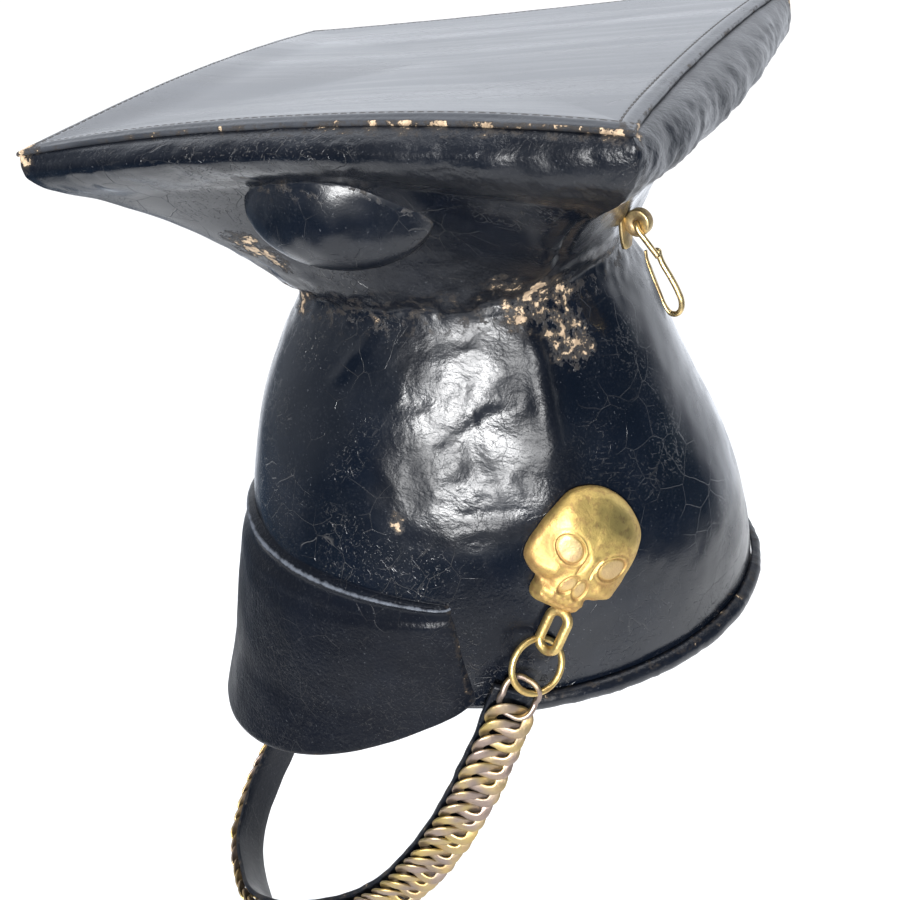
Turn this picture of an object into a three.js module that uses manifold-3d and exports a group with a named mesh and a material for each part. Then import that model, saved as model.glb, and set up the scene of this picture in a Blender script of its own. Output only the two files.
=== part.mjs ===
// Lancer cap of lacquered leather with brass fittings and a chin chain.
// Millimetres, +Z up. The front is -Y and the wearer's left is +X.
// The origin is the centre of the head opening at rim level.
import * as THREE from 'three';
import { mergeVertices } from 'three/addons/utils/BufferGeometryUtils.js';
import Module from 'manifold-3d';

const wasm = await Module();
wasm.setup();

// Driving dimensions
const LEATHER = 2.5;
const GAP = 0.3;
const AROUND = 36;
const RIM_SLOPE = Math.tan(THREE.MathUtils.degToRad(3.7));
const WAIST = 147;
const BOARD_TOP = 213;
const BOARD_REACH = 137.5;
const BOARD_CENTRE = -5;
const EDGE_RAISE = 4;
const FRONT_CORNER_LIFT = 3;
const RIGHT_CORNER_PULL = 13;
const BOARD_WALL = 3;
const BAND_LOW = 201;
const BAND_TALL = 12;
const SEAT = GAP + 0.1;

// Horizontal sections of the crown: half length and half width about a centre
// on the Y axis. The power is 2 for an oval and 1 for a square on its corner.
const CROWN_SECTIONS = [
  { height: 0, centre: -0.8, length: 103.2, width: 87.5, power: 2.0 },
  { height: 30, centre: -3.5, length: 102.5, width: 88, power: 2.0 },
  { height: 60, centre: -6.6, length: 97.7, width: 87, power: 2.0 },
  { height: 85, centre: -8.5, length: 89.1, width: 82, power: 1.95 },
  { height: 108, centre: -8.4, length: 80.6, width: 75, power: 1.9 },
  { height: 131, centre: -6.5, length: 70.5, width: 66, power: 1.8 },
  { height: WAIST, centre: BOARD_CENTRE, length: 62.5, width: 59, power: 1.7 },
];

// Sections of the neck and the rolled side band of the board above the waist.
const BOARD_SECTIONS = [
  { height: WAIST + GAP, centre: BOARD_CENTRE, length: 62.5, width: 59, power: 1.7 },
  { height: 153, centre: BOARD_CENTRE, length: 69, width: 64, power: 1.6 },
  { height: 165, centre: BOARD_CENTRE, length: 80, width: 78, power: 1.35 },
  { height: 179, centre: BOARD_CENTRE, length: 98, width: 98, power: 1.15 },
  { height: 191, centre: BOARD_CENTRE, length: 119, width: 119, power: 1.04 },
  { height: 196, centre: BOARD_CENTRE, length: 131, width: 130, power: 1.05 },
  { height: 201, centre: BOARD_CENTRE, length: 137.5, width: 136.5, power: 1.08 },
  { height: 207, centre: BOARD_CENTRE, length: 139, width: 138.5, power: 1.08 },
  { height: 211.5, centre: BOARD_CENTRE, length: 138.5, width: 138.5, power: 1.0 },
  { height: BOARD_TOP, centre: BOARD_CENTRE, length: BOARD_REACH, width: BOARD_REACH, power: 0.93 },
];

// Dents and folds pressed into the leather: bearing from +X towards +Y in
// degrees, height, spread both ways and the depth (a ridge is negative).
const DENTS = [
  { bearing: -22, height: 98, spread: 16, tall: 24, depth: 4 },
  { bearing: -3, height: 105, spread: 5, tall: 32, depth: -3 },
  { bearing: 12, height: 108, spread: 9, tall: 22, depth: 2.5 },
  { bearing: -55, height: 122, spread: 14, tall: 14, depth: 2 },
  { bearing: 130, height: 112, spread: 18, tall: 20, depth: 2.5 },
  { bearing: 205, height: 104, spread: 16, tall: 24, depth: 3 },
];

// Top plate: a thin sheet that dips towards its middle
const PLATE_THICK = 2;
const PLATE_DIP = 1;
const PLATE_FLAT = 0.88;
const PLATE_OVERHANG = 0.6;
const PLATE_RINGS = [0, 0.4, PLATE_FLAT, 1];
const FLANGE = 9;

// Visor: bearings are measured from the front, one way and the other
const VISOR_THICK = 3;
const VISOR_SPAN = THREE.MathUtils.degToRad(63);
const VISOR_SEAM = { front: 65, ends: 53 };
const VISOR_LOW = { front: -21, ends: 9 };
const VISOR_FLARE = 30;
const VISOR_CURVE = { low: 2.4, side: 2.6, down: 1.15 };
const VISOR_SIDE_STEPS = 24;
const VISOR_DOWN_STEPS = 4;

// Rolled welt of the rim
const WELT_TALL = 7;
const WELT_PROUD = 3.6;
const WELT_STEPS = 34;
const WELT_START = VISOR_SPAN + 0.05;
const WELT_PROFILE = [
  { out: 0, up: 0 },
  { out: 0.6, up: 0 },
  { out: 0.95, up: 0.3 },
  { out: 1, up: 0.6 },
  { out: 0.6, up: 0.95 },
  { out: 0, up: 1 },
];

// Half-egg pocket on the front left face of the neck
const POCKET = { x: 54, y: -58, z: 191, long: 32, tall: 21, deep: 16, wall: 2, gap: 0.45 };

// Skull boss: outline as reach from its middle, by the turn from its top
const BOSS_PLACE = { y: -6, z: 65.5 };
const BOSS_LEAN = THREE.MathUtils.degToRad(43.5);
const BOSS_RISE = 5.8;
const BOSS_EDGE = 1.6;
const BOSS_SEAT = 0.5;
const BOSS_DOME = 2.2;
const HOLLOW_EDGE = { from: 0.6, to: 1.05 };
const BOSS_RINGS = 7;
const BOSS_BACK_RINGS = [0, 3, 5, BOSS_RINGS];
const BOSS_AROUND = 24;
const BOSS_OUTLINE = [
  { turn: 0, reach: 21.5 },
  { turn: 30, reach: 21.8 },
  { turn: 50, reach: 22.2 },
  { turn: 68, reach: 20.6 },
  { turn: 90, reach: 19.5 },
  { turn: 105, reach: 20.2 },
  { turn: 120, reach: 21 },
  { turn: 135, reach: 19.6 },
  { turn: 146, reach: 18.4 },
  { turn: 155, reach: 22 },
  { turn: 162, reach: 23.4 },
  { turn: 171, reach: 22.8 },
  { turn: 180, reach: 22.4 },
];

// Hollows of the skull: place across and up, half sizes and depth
const BOSS_HOLLOWS = [
  { across: -9.3, up: 0, wide: 5, tall: 4.2, depth: 1.2 },
  { across: 9.3, up: 0, wide: 5, tall: 4.2, depth: 1.2 },
  { across: 0, up: -9.6, wide: 4.8, tall: 3.6, depth: 1 },
];

// Loop and ring under each boss, as distances down a leaning line from its middle
const HANG_LEAN = THREE.MathUtils.degToRad(31);
const LOOP = { top: 24.9, bottom: 40.5, half: 3.6, wire: 1.3, turn: 0.95, steps: 12 };
const RING = { middle: 47, radius: 9.4, wire: 1.15, steps: 14 };
const HANG_SIDES = 6;

// Chin strap and chain: the left half of the route, from ring to chin
const STRAP_ROUTE = [
  { x: 88.5, y: -38, z: 13 },
  { x: 88, y: -62, z: -28 },
  { x: 80, y: -83, z: -62 },
  { x: 68, y: -103, z: -87 },
  { x: 52, y: -124, z: -103 },
  { x: 34, y: -142, z: -114 },
  { x: 17, y: -151, z: -120 },
  { x: 0, y: -153, z: -124 },
];
const STRAP_HUB = new THREE.Vector3(0, -60, -75);
const STRAP_WIDE = 19;
const STRAP_THICK = 2;
const STRAP_STEPS = 40;
const ROUTE_STEPS = 400;
const LINK_SIDES = 10;
const WIRE_SIDES = 5;
const LINK = { long: 13.4, wide: 16, wire: 1.2 };
const END_LINK = { long: 18, wide: 14.5, wire: 1.05 };
const LINK_WEAVE = 1.35;
const LINK_LEAN = 0.3;
const RING_WEAVE = 1.7;
const LINK_PITCH = 7.8;
const FIRST_LINK = 9.7;

// Hook: eye place by bearing about the neck's centre, and the wire clip
const EYE = { bearing: 34, z: 166, off: 5.3, outer: 4.5, hole: 1.3, thick: 1.2, steps: 14 };
const TONGUE = { wide: 8, above: 9, below: 4, thick: 1.2, tip: 3, tipShare: 0.6 };
const HOOK = {
  lean: 21,
  wire: 0.9,
  curl: 3.4,
  curlSteps: 10,
  open: 0.9,
  neck: 9,
  tip: 12,
  shoulder: 16,
  bottom: 33,
  bendSteps: 5,
  outer: 3.6,
  inner: -2.6,
};

// Finishes
const BLACK_LACQUER = { color: 0x14161b, roughness: 0.3, metalness: 0 };
const BRASS = { color: 0xb8923f, roughness: 0.32, metalness: 1 };
const DULL_BRASS = { color: 0x96805a, roughness: 0.4, metalness: 1 };

const cap = new THREE.Group();

// Adds one named piece to the cap
function addPiece(name, geometry, finish) {
  const mesh = new THREE.Mesh(geometry, new THREE.MeshStandardMaterial(finish));
  mesh.name = name;
  cap.add(mesh);
}

// Closed geometry from points and triangles, with shared points merged
function solid(points, triangles) {
  const geometry = new THREE.BufferGeometry();
  const numbers = points.flatMap((point) => point.toArray());
  geometry.setAttribute('position', new THREE.Float32BufferAttribute(numbers, 3));
  geometry.setIndex(triangles.flat());
  const merged = mergeVertices(geometry, 1e-3);
  const kept = [];
  for (let i = 0; i < merged.index.count; i += 3) {
    const corners = [0, 1, 2].map((k) => merged.index.getX(i + k));
    if (new Set(corners).size === 3) kept.push(...corners);
  }
  merged.setIndex(signedVolume(merged, kept) < 0 ? kept.reverse() : kept);
  return merged;
}

// Volume inside the triangles, which is negative where they face inwards
function signedVolume(geometry, corners) {
  const at = (k) => new THREE.Vector3().fromBufferAttribute(geometry.attributes.position, corners[k]);
  let volume = 0;
  for (let i = 0; i < corners.length; i += 3) volume += at(i).dot(at(i + 1).cross(at(i + 2)));
  return volume / 6;
}

// Joins rings of equal length in order; closing the order makes a closed tube
function ringsSolid(rings, closed) {
  const count = rings[0].length;
  const triangles = [];
  const last = closed ? rings.length : rings.length - 1;
  for (let i = 0; i < last; i += 1) {
    const low = i * count;
    const high = ((i + 1) % rings.length) * count;
    for (let j = 0; j < count; j += 1) {
      const next = (j + 1) % count;
      triangles.push([low + j, low + next, high + next], [low + j, high + next, high + j]);
    }
  }
  return solid(rings.flat(), triangles);
}

// Tube of section rings with flat caps at both ends
function cappedRings(rings) {
  const first = rings[0];
  const final = rings[rings.length - 1];
  const middle = (ring) => ring.reduce((sum, p) => sum.add(p), new THREE.Vector3()).divideScalar(ring.length);
  const start = first.map(() => middle(first));
  const end = final.map(() => middle(final));
  return ringsSolid([start, ...rings, end], false);
}

function toManifold(geometry) {
  const vertProperties = new Float32Array(geometry.attributes.position.array);
  const triVerts = new Uint32Array(geometry.index.array);
  return new wasm.Manifold(new wasm.Mesh({ numProp: 3, vertProperties, triVerts }));
}

function fromManifold(shape) {
  const mesh = shape.getMesh();
  const geometry = new THREE.BufferGeometry();
  geometry.setAttribute('position', new THREE.BufferAttribute(new Float32Array(mesh.vertProperties), 3));
  geometry.setIndex(new THREE.BufferAttribute(new Uint32Array(mesh.triVerts), 1));
  return geometry;
}

// Smooth value of one column of a table between its rows
function columnAt(table, key, column, at) {
  const last = table.length - 1;
  let i = 0;
  while (i < last - 1 && at > table[i + 1][key]) i += 1;
  const slope = (k) => {
    const a = table[Math.max(k - 1, 0)];
    const b = table[Math.min(k + 1, last)];
    return (b[column] - a[column]) / (b[key] - a[key]);
  };
  const span = table[i + 1][key] - table[i][key];
  const t = (at - table[i][key]) / span;
  const rise = t * t * (3 - 2 * t);
  const bend = t * (1 - t);
  const base = table[i][column] * (1 - rise) + table[i + 1][column] * rise;
  return base + span * bend * ((1 - t) * slope(i) - t * slope(i + 1));
}

function sectionAt(table, height) {
  const section = { height };
  for (const column of ['centre', 'length', 'width', 'power']) {
    section[column] = columnAt(table, 'height', column, height);
  }
  return section;
}

// Degrees brought between -180 and 180
function halfTurn(degrees) {
  return THREE.MathUtils.euclideanModulo(degrees + 180, 360) - 180;
}

function dentDepth(angle, height) {
  let depth = 0;
  for (const dent of DENTS) {
    const across = halfTurn(THREE.MathUtils.radToDeg(angle) - dent.bearing) / dent.spread;
    const up = (height - dent.height) / dent.tall;
    depth += dent.depth * Math.exp(-across * across - up * up);
  }
  return depth;
}

// Point of a section at one angle, drawn in by an inset, with the rim's slope
// low down and the board's raised edges and pulled corner high up
function sectionPoint(section, angle, inset) {
  const wall = inset * 2 ** (1 / section.power - 0.5) + dentDepth(angle, section.height);
  const c = Math.cos(angle);
  const s = Math.sin(angle);
  const across = Math.sign(c) * Math.abs(c) ** (2 / section.power);
  const along = Math.sign(s) * Math.abs(s) ** (2 / section.power);
  const x = across * (section.width - wall);
  const boardShare = THREE.MathUtils.smoothstep(section.height, WAIST, BAND_LOW);
  const pull = RIGHT_CORNER_PULL * boardShare * Math.max(0, -x / BOARD_REACH);
  const y = section.centre + along * (section.length - wall) - pull;
  const lowShare = THREE.MathUtils.clamp(1 - section.height / WAIST, 0, 1);
  const middleOfEdge = 1 - (Math.abs(across) - Math.abs(along)) ** 2;
  const underBand = THREE.MathUtils.clamp((BOARD_TOP - section.height) / BAND_TALL, 0, 1);
  const lift = s < 0 ? EDGE_RAISE * middleOfEdge + FRONT_CORNER_LIFT * underBand * along ** 4 : 0;
  return new THREE.Vector3(x, y, section.height - RIM_SLOPE * y * lowShare + boardShare * lift);
}

function sectionRing(section, inset) {
  const ring = [];
  for (let j = 0; j < AROUND; j += 1) ring.push(sectionPoint(section, (j / AROUND) * 2 * Math.PI, inset));
  return ring;
}

function crownPoint(angle, height, outset) {
  return sectionPoint(sectionAt(CROWN_SECTIONS, height), angle, -outset);
}

// Height above the sloping rim of a place on the crown
function heightOn(y, z) {
  return THREE.MathUtils.clamp((z + RIM_SLOPE * y) / (1 + (RIM_SLOPE * y) / WAIST), 0, WAIST);
}

// Crown
const crownHeights = [0, 14, 30, 46, 60, 73, 85, 97, 108, 120, 131, 139, WAIST];
const crownOuter = crownHeights.map((height) => sectionRing(sectionAt(CROWN_SECTIONS, height), 0));
const crownInner = crownHeights
  .filter((height, i) => i % 3 === 0)
  .map((height) => sectionRing(sectionAt(CROWN_SECTIONS, height), LEATHER))
  .reverse();
addPiece('crown', ringsSolid([...crownOuter, ...crownInner], true), BLACK_LACQUER);

// Mortarboard: neck, rolled band and a narrow flange under the top plate
const boardHeights = [WAIST + GAP, 153, 159, 165, 172, 179, 185, 191, 196, 201, 207, 211.5, BOARD_TOP];
const boardInside = [196, 185, 165, WAIST + GAP];
const boardOuter = boardHeights.map((height) => sectionRing(sectionAt(BOARD_SECTIONS, height), 0));
const flangeTop = sectionRing(sectionAt(BOARD_SECTIONS, BOARD_TOP), FLANGE);
const flangeUnder = sectionRing(sectionAt(BOARD_SECTIONS, BOARD_TOP - LEATHER), FLANGE);
const flangeRoot = sectionRing(sectionAt(BOARD_SECTIONS, BOARD_TOP - LEATHER), LEATHER);
const bandInside = sectionRing(sectionAt(BOARD_SECTIONS, BAND_LOW), LEATHER);
const boardInner = boardInside.map((height) => sectionRing(sectionAt(BOARD_SECTIONS, height), BOARD_WALL));
const boardRings = [...boardOuter, flangeTop, flangeUnder, flangeRoot, bandInside, ...boardInner];
addPiece('mortarboard', ringsSolid(boardRings, true), BLACK_LACQUER);

// Top plate
function plateRing(share, lift) {
  const edge = sectionRing(sectionAt(BOARD_SECTIONS, BOARD_TOP), -PLATE_OVERHANG);
  const middle = new THREE.Vector3(0, BOARD_CENTRE, BOARD_TOP);
  return edge.map((point) => {
    const flat = middle.clone().lerp(point, share);
    const rise = THREE.MathUtils.smoothstep(share, 0, PLATE_FLAT);
    return flat.setZ(THREE.MathUtils.lerp(BOARD_TOP - PLATE_DIP, point.z, rise) + lift);
  });
}
const plateUnder = [0, PLATE_FLAT, 1].map((share) => plateRing(share, GAP));
const plateTop = PLATE_RINGS.map((share) => plateRing(share, GAP + PLATE_THICK)).reverse();
addPiece('top_plate', ringsSolid([...plateUnder, ...plateTop], false), BLACK_LACQUER);

// Visor: inner and outer faces follow the crown and flare out to the front
function visorPoint(side, down, outset) {
  const seam = THREE.MathUtils.lerp(VISOR_SEAM.front, VISOR_SEAM.ends, side * side);
  const low = THREE.MathUtils.lerp(VISOR_LOW.front, VISOR_LOW.ends, Math.abs(side) ** VISOR_CURVE.low);
  const angle = -Math.PI / 2 + side * VISOR_SPAN;
  const z = THREE.MathUtils.lerp(seam, low, down);
  const flare = VISOR_FLARE * (1 - side * side) ** VISOR_CURVE.side * down ** VISOR_CURVE.down;
  const y = crownPoint(angle, heightOn(0, z), GAP).y;
  return crownPoint(angle, heightOn(y, z), GAP + flare + outset).setZ(z);
}
const visorLoops = [];
for (let i = 0; i <= VISOR_SIDE_STEPS; i += 1) {
  const side = (i / VISOR_SIDE_STEPS) * 2 - 1;
  const downs = [...Array(VISOR_DOWN_STEPS + 1).keys()].map((k) => k / VISOR_DOWN_STEPS);
  const inner = downs.map((down) => visorPoint(side, down, SEAT - GAP));
  const outer = downs.map((down) => visorPoint(side, down, VISOR_THICK)).reverse();
  visorLoops.push([...inner, ...outer]);
}
addPiece('visor', cappedRings(visorLoops), BLACK_LACQUER);

// Rim binding: a rolled welt from one end of the visor round the back to the other
const weltRings = [];
const weltFrom = -Math.PI / 2 + WELT_START;
const weltTo = 1.5 * Math.PI - WELT_START;
for (let i = 0; i <= WELT_STEPS; i += 1) {
  const angle = THREE.MathUtils.lerp(weltFrom, weltTo, i / WELT_STEPS);
  const corner = ({ out, up }) => crownPoint(angle, up * WELT_TALL, SEAT + out * WELT_PROUD);
  weltRings.push(WELT_PROFILE.map(corner));
}
addPiece('rim_binding', cappedRings(weltRings), BLACK_LACQUER);

// Cockade pocket: an egg-shaped cup cut off where it meets the neck
function egg(grow) {
  const geometry = new THREE.SphereGeometry(1, 16, 8);
  geometry.scale(POCKET.long - grow, POCKET.deep - grow, POCKET.tall - grow);
  geometry.rotateZ(Math.PI / 4);
  geometry.translate(POCKET.x, POCKET.y, POCKET.z);
  geometry.deleteAttribute('normal');
  geometry.deleteAttribute('uv');
  return toManifold(solid(pointsOf(geometry), trianglesOf(geometry)));
}
function pointsOf(geometry) {
  const position = geometry.attributes.position;
  return [...Array(position.count).keys()].map((i) => new THREE.Vector3().fromBufferAttribute(position, i));
}
function trianglesOf(geometry) {
  const list = [];
  for (let i = 0; i < geometry.index.count; i += 3) {
    list.push([0, 1, 2].map((k) => geometry.index.getX(i + k)));
  }
  return list;
}
const neckRings = boardHeights.map((height) => sectionRing(sectionAt(BOARD_SECTIONS, height), -POCKET.gap));
const neckBlock = toManifold(cappedRings(neckRings));
const pocket = egg(0).subtract(egg(POCKET.wall)).subtract(neckBlock);
addPiece('cockade_pocket', fromManifold(pocket), BLACK_LACQUER);

// Outer face of the crown at a place seen from the left (side 1) or right (-1)
function sideReach(side, y, z) {
  const section = sectionAt(CROWN_SECTIONS, heightOn(y, z));
  const share = Math.min(1, Math.abs((y - section.centre) / section.length));
  const across = (1 - share ** section.power) ** (1 / section.power);
  const angle = Math.atan2((y - section.centre) / section.length, side * across);
  return across * (section.width - dentDepth(angle, section.height));
}

// Place on the leaning axis of a boss: across it, up it, and out from the crown
function bossPoint(side, across, up, out) {
  const y = BOSS_PLACE.y + across * Math.cos(BOSS_LEAN) + up * Math.sin(BOSS_LEAN);
  const z = BOSS_PLACE.z - across * Math.sin(BOSS_LEAN) + up * Math.cos(BOSS_LEAN);
  return new THREE.Vector3(side * (sideReach(side, y, z) + BOSS_SEAT + out), y, z);
}

function bossHeight(share, across, up) {
  let height = BOSS_EDGE + BOSS_RISE * Math.sqrt(1 - share ** BOSS_DOME);
  for (const hollow of BOSS_HOLLOWS) {
    const a = (across - hollow.across) / hollow.wide;
    const b = (up - hollow.up) / hollow.tall;
    const level = THREE.MathUtils.smoothstep(Math.hypot(a, b), HOLLOW_EDGE.from, HOLLOW_EDGE.to);
    height -= hollow.depth * (1 - level);
  }
  return height;
}

function skullBoss(side) {
  const front = [];
  const back = [];
  for (let i = 0; i <= BOSS_RINGS; i += 1) {
    const share = Math.sin((i / BOSS_RINGS) * Math.PI * 0.5);
    const frontRing = [];
    const backRing = [];
    for (let j = 0; j < BOSS_AROUND; j += 1) {
      const turn = (j / BOSS_AROUND) * 2 * Math.PI;
      const fold = Math.abs(halfTurn(THREE.MathUtils.radToDeg(turn)));
      const reach = columnAt(BOSS_OUTLINE, 'turn', 'reach', fold) * share;
      const across = Math.sin(turn) * reach;
      const up = Math.cos(turn) * reach;
      frontRing.push(bossPoint(side, across, up, bossHeight(share, across, up)));
      backRing.push(bossPoint(side, across, up, 0));
    }
    front.push(frontRing);
    back.push(backRing);
  }
  const backRings = back.filter((ring, i) => BOSS_BACK_RINGS.includes(i)).reverse();
  return ringsSolid([...front, ...backRings], false);
}

// Round wire of a few sides along points of a closed loop
function wireLoop(points, across, wire, sides) {
  const rings = points.map((point, i) => {
    const ahead = points[(i + 1) % points.length];
    const behind = points[(i + points.length - 1) % points.length];
    const along = ahead.clone().sub(behind).normalize();
    const side = across.clone().addScaledVector(along, -across.dot(along)).normalize();
    const other = along.clone().cross(side);
    return wireSection(point, side, other, wire, wire, sides);
  });
  return ringsSolid(rings, true);
}

function wireSection(point, side, other, wide, thick, sides) {
  const ring = [];
  for (let k = 0; k < sides; k += 1) {
    const angle = (k / sides) * 2 * Math.PI;
    const p = point.clone().addScaledVector(side, Math.cos(angle) * wide);
    ring.push(p.addScaledVector(other, Math.sin(angle) * thick));
  }
  return ring;
}

function mirrored(geometry) {
  const points = pointsOf(geometry).map((p) => p.setX(-p.x));
  const triangles = trianglesOf(geometry).map(([a, b, c]) => [a, c, b]);
  return solid(points, triangles);
}

function addPair(name, geometry, finish) {
  addPiece(`${name}_left`, geometry, finish);
  addPiece(`${name}_right`, mirrored(geometry), finish);
}

addPiece('skull_boss_left', skullBoss(1), BRASS);
addPiece('skull_boss_right', skullBoss(-1), BRASS);

// Axes of the hanging pieces beside the left of the crown
const hangDown = new THREE.Vector3(0, -Math.sin(HANG_LEAN), -Math.cos(HANG_LEAN));
const hangAcross = new THREE.Vector3(0, Math.cos(HANG_LEAN), -Math.sin(HANG_LEAN));
const hangOut = new THREE.Vector3(1, 0, 0);
const bossMiddle = new THREE.Vector3(0, BOSS_PLACE.y, BOSS_PLACE.z);

function hangPoint(down, across, out) {
  const point = bossMiddle.clone().addScaledVector(hangDown, down);
  return point.addScaledVector(hangAcross, across).addScaledVector(hangOut, out);
}

// The loop's inner edge just clears the crown, and the ring hangs in its middle
const loopMiddle = hangPoint((LOOP.top + LOOP.bottom) / 2, 0, 0);
const loopReach = LOOP.half * Math.sin(LOOP.turn) + LOOP.wire + 2 * GAP;
const hangReach = sideReach(1, loopMiddle.y, loopMiddle.z) + loopReach;

// Boss loop: a long link standing on edge from under the jaw to the ring
function bossLoop() {
  const points = [];
  const straight = (LOOP.bottom - LOOP.top) / 2 - LOOP.half;
  const middle = (LOOP.bottom + LOOP.top) / 2;
  for (let i = 0; i < LOOP.steps; i += 1) {
    const angle = ((i + 0.5) / LOOP.steps) * 2 * Math.PI;
    const down = middle + Math.cos(angle) * LOOP.half + Math.sign(Math.cos(angle)) * straight;
    const wide = Math.sin(angle) * LOOP.half;
    points.push(hangPoint(down, wide * Math.cos(LOOP.turn), hangReach + wide * Math.sin(LOOP.turn)));
  }
  const face = hangAcross.clone().cross(hangDown).applyAxisAngle(hangDown, -LOOP.turn);
  return wireLoop(points, face, LOOP.wire, HANG_SIDES);
}
addPair('boss_loop', bossLoop(), BRASS);

// Chin ring: lies flat beside the crown
function chinRing() {
  const points = [];
  for (let i = 0; i < RING.steps; i += 1) {
    const angle = (i / RING.steps) * 2 * Math.PI;
    const down = RING.middle + Math.cos(angle) * RING.radius;
    points.push(hangPoint(down, Math.sin(angle) * RING.radius, hangReach));
  }
  return wireLoop(points, hangOut, RING.wire, HANG_SIDES);
}
addPair('chin_ring', chinRing(), BRASS);

// Route of the strap and chain from the left ring under the chin to the right one
const leftHalf = STRAP_ROUTE.map(({ x, y, z }) => new THREE.Vector3(x, y, z));
const rightHalf = leftHalf.slice(0, -1).map((p) => new THREE.Vector3(-p.x, p.y, p.z)).reverse();
const strapCurve = new THREE.CatmullRomCurve3([...leftHalf, ...rightHalf], false, 'centripetal');
strapCurve.arcLengthDivisions = ROUTE_STEPS;
const strapLength = strapCurve.getLength();

function strapFrame(share) {
  const point = strapCurve.getPointAt(share);
  const along = strapCurve.getTangentAt(share).normalize();
  const out = point.clone().sub(STRAP_HUB);
  out.addScaledVector(along, -out.dot(along)).normalize();
  const across = out.clone().cross(along);
  return { point, along, out, across };
}

function onStrap(frame, along, across, out) {
  const point = frame.point.clone().addScaledVector(frame.along, along);
  return point.addScaledVector(frame.across, across).addScaledVector(frame.out, out);
}

// Chin strap
const strapRings = [];
for (let i = 0; i <= STRAP_STEPS; i += 1) {
  const frame = strapFrame(i / STRAP_STEPS);
  const half = STRAP_WIDE / 2;
  strapRings.push([
    onStrap(frame, 0, -half, -STRAP_THICK),
    onStrap(frame, 0, -half, 0),
    onStrap(frame, 0, half, 0),
    onStrap(frame, 0, half, -STRAP_THICK),
  ]);
}
addPiece('chin_strap', cappedRings(strapRings), BLACK_LACQUER);

// One woven link: its wire passes over the next on one side, where it leans on
// that link and is fused to it, and clear under it on the other side. An end
// link has a ring behind it (ringSide -1) or ahead (1) and weaves clear of it.
function chainLink(frame, size, ringSide) {
  const points = [];
  for (let i = 0; i < LINK_SIDES; i += 1) {
    const angle = ((i + 0.5) / LINK_SIDES) * 2 * Math.PI;
    const c = Math.cos(angle);
    const s = Math.sin(angle);
    const weave = c * ringSide > 0 ? ringSide * RING_WEAVE : LINK_WEAVE;
    const height = chainLift + 2 * weave * s * c - (LINK_LEAN * c * (1 + s)) / 2;
    points.push(onStrap(frame, c * (size.long / 2 - size.wire), s * (size.wide / 2 - size.wire), height));
  }
  return toManifold(wireLoop(points, frame.out, size.wire, WIRE_SIDES));
}

// Chin chain: woven links fused into one body, with a longer link through each ring
const chainLift = GAP + LINK.wire + LINK_WEAVE + LINK_LEAN / 5;
const linkRoom = strapLength - 2 * FIRST_LINK;
const linkCount = Math.round(linkRoom / LINK_PITCH);
let chain = chainLink(strapFrame(0), END_LINK, -1);
for (let i = 0; i <= linkCount; i += 1) {
  const frame = strapFrame((FIRST_LINK + (linkRoom * i) / linkCount) / strapLength);
  chain = chain.add(chainLink(frame, LINK, 0));
}
chain = chain.add(chainLink(strapFrame(1), END_LINK, 1));
addPiece('chin_chain', fromManifold(chain), DULL_BRASS);

// Hook plate and wire clip under the left corner of the board
const eyeTurn = THREE.MathUtils.degToRad(EYE.bearing);
const eyeOut = new THREE.Vector3(Math.cos(eyeTurn), Math.sin(eyeTurn), 0);
const eyeSide = new THREE.Vector3(-Math.sin(eyeTurn), Math.cos(eyeTurn), 0);
const up = new THREE.Vector3(0, 0, 1);

// Place on the neck's outer face at the eye's bearing
function neckPlace(z) {
  const { width, length, power } = sectionAt(BOARD_SECTIONS, z);
  const reach = ((eyeOut.x / width) ** power + (eyeOut.y / length) ** power) ** (-1 / power);
  return new THREE.Vector3(0, BOARD_CENTRE, z).addScaledVector(eyeOut, reach);
}
const neckClimb = neckPlace(EYE.z + EYE.outer).sub(neckPlace(EYE.z - EYE.outer)).normalize();
const neckAway = eyeSide.clone().cross(neckClimb);
const eyeMiddle = neckPlace(EYE.z).addScaledVector(neckAway, EYE.off);

// Eye: a disc with a hole, standing in the plane of the outward direction
function eyeDisc() {
  const rings = [];
  for (let i = 0; i < EYE.steps; i += 1) {
    const angle = (i / EYE.steps) * 2 * Math.PI;
    const spoke = eyeOut.clone().multiplyScalar(Math.cos(angle)).addScaledVector(up, Math.sin(angle));
    const corner = (reach, side) =>
      eyeMiddle.clone().addScaledVector(spoke, reach).addScaledVector(eyeSide, side);
    const half = EYE.thick / 2;
    rings.push([
      corner(EYE.hole, -half),
      corner(EYE.outer, -half),
      corner(EYE.outer, half),
      corner(EYE.hole, half),
    ]);
  }
  return ringsSolid(rings, true);
}

// Tongue: a flat tab that lies on the neck behind the eye
function tongue() {
  const start = neckPlace(EYE.z).addScaledVector(neckAway, 2 * GAP);
  const ends = [
    { along: -TONGUE.below, share: TONGUE.tipShare },
    { along: TONGUE.tip - TONGUE.below, share: 1 },
    { along: TONGUE.above, share: 1 },
  ];
  const rings = ends.map(({ along, share }) => {
    const half = (TONGUE.wide / 2) * share;
    const middle = start.clone().addScaledVector(neckClimb, along);
    const corner = (side, out) => middle.clone().addScaledVector(eyeSide, side).addScaledVector(neckAway, out);
    return [corner(-half, 0), corner(half, 0), corner(half, TONGUE.thick), corner(-half, TONGUE.thick)];
  });
  return cappedRings(rings);
}
const hookPlate = toManifold(eyeDisc()).add(toManifold(tongue()));
addPiece('hook_plate', fromManifold(hookPlate), BRASS);

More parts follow.
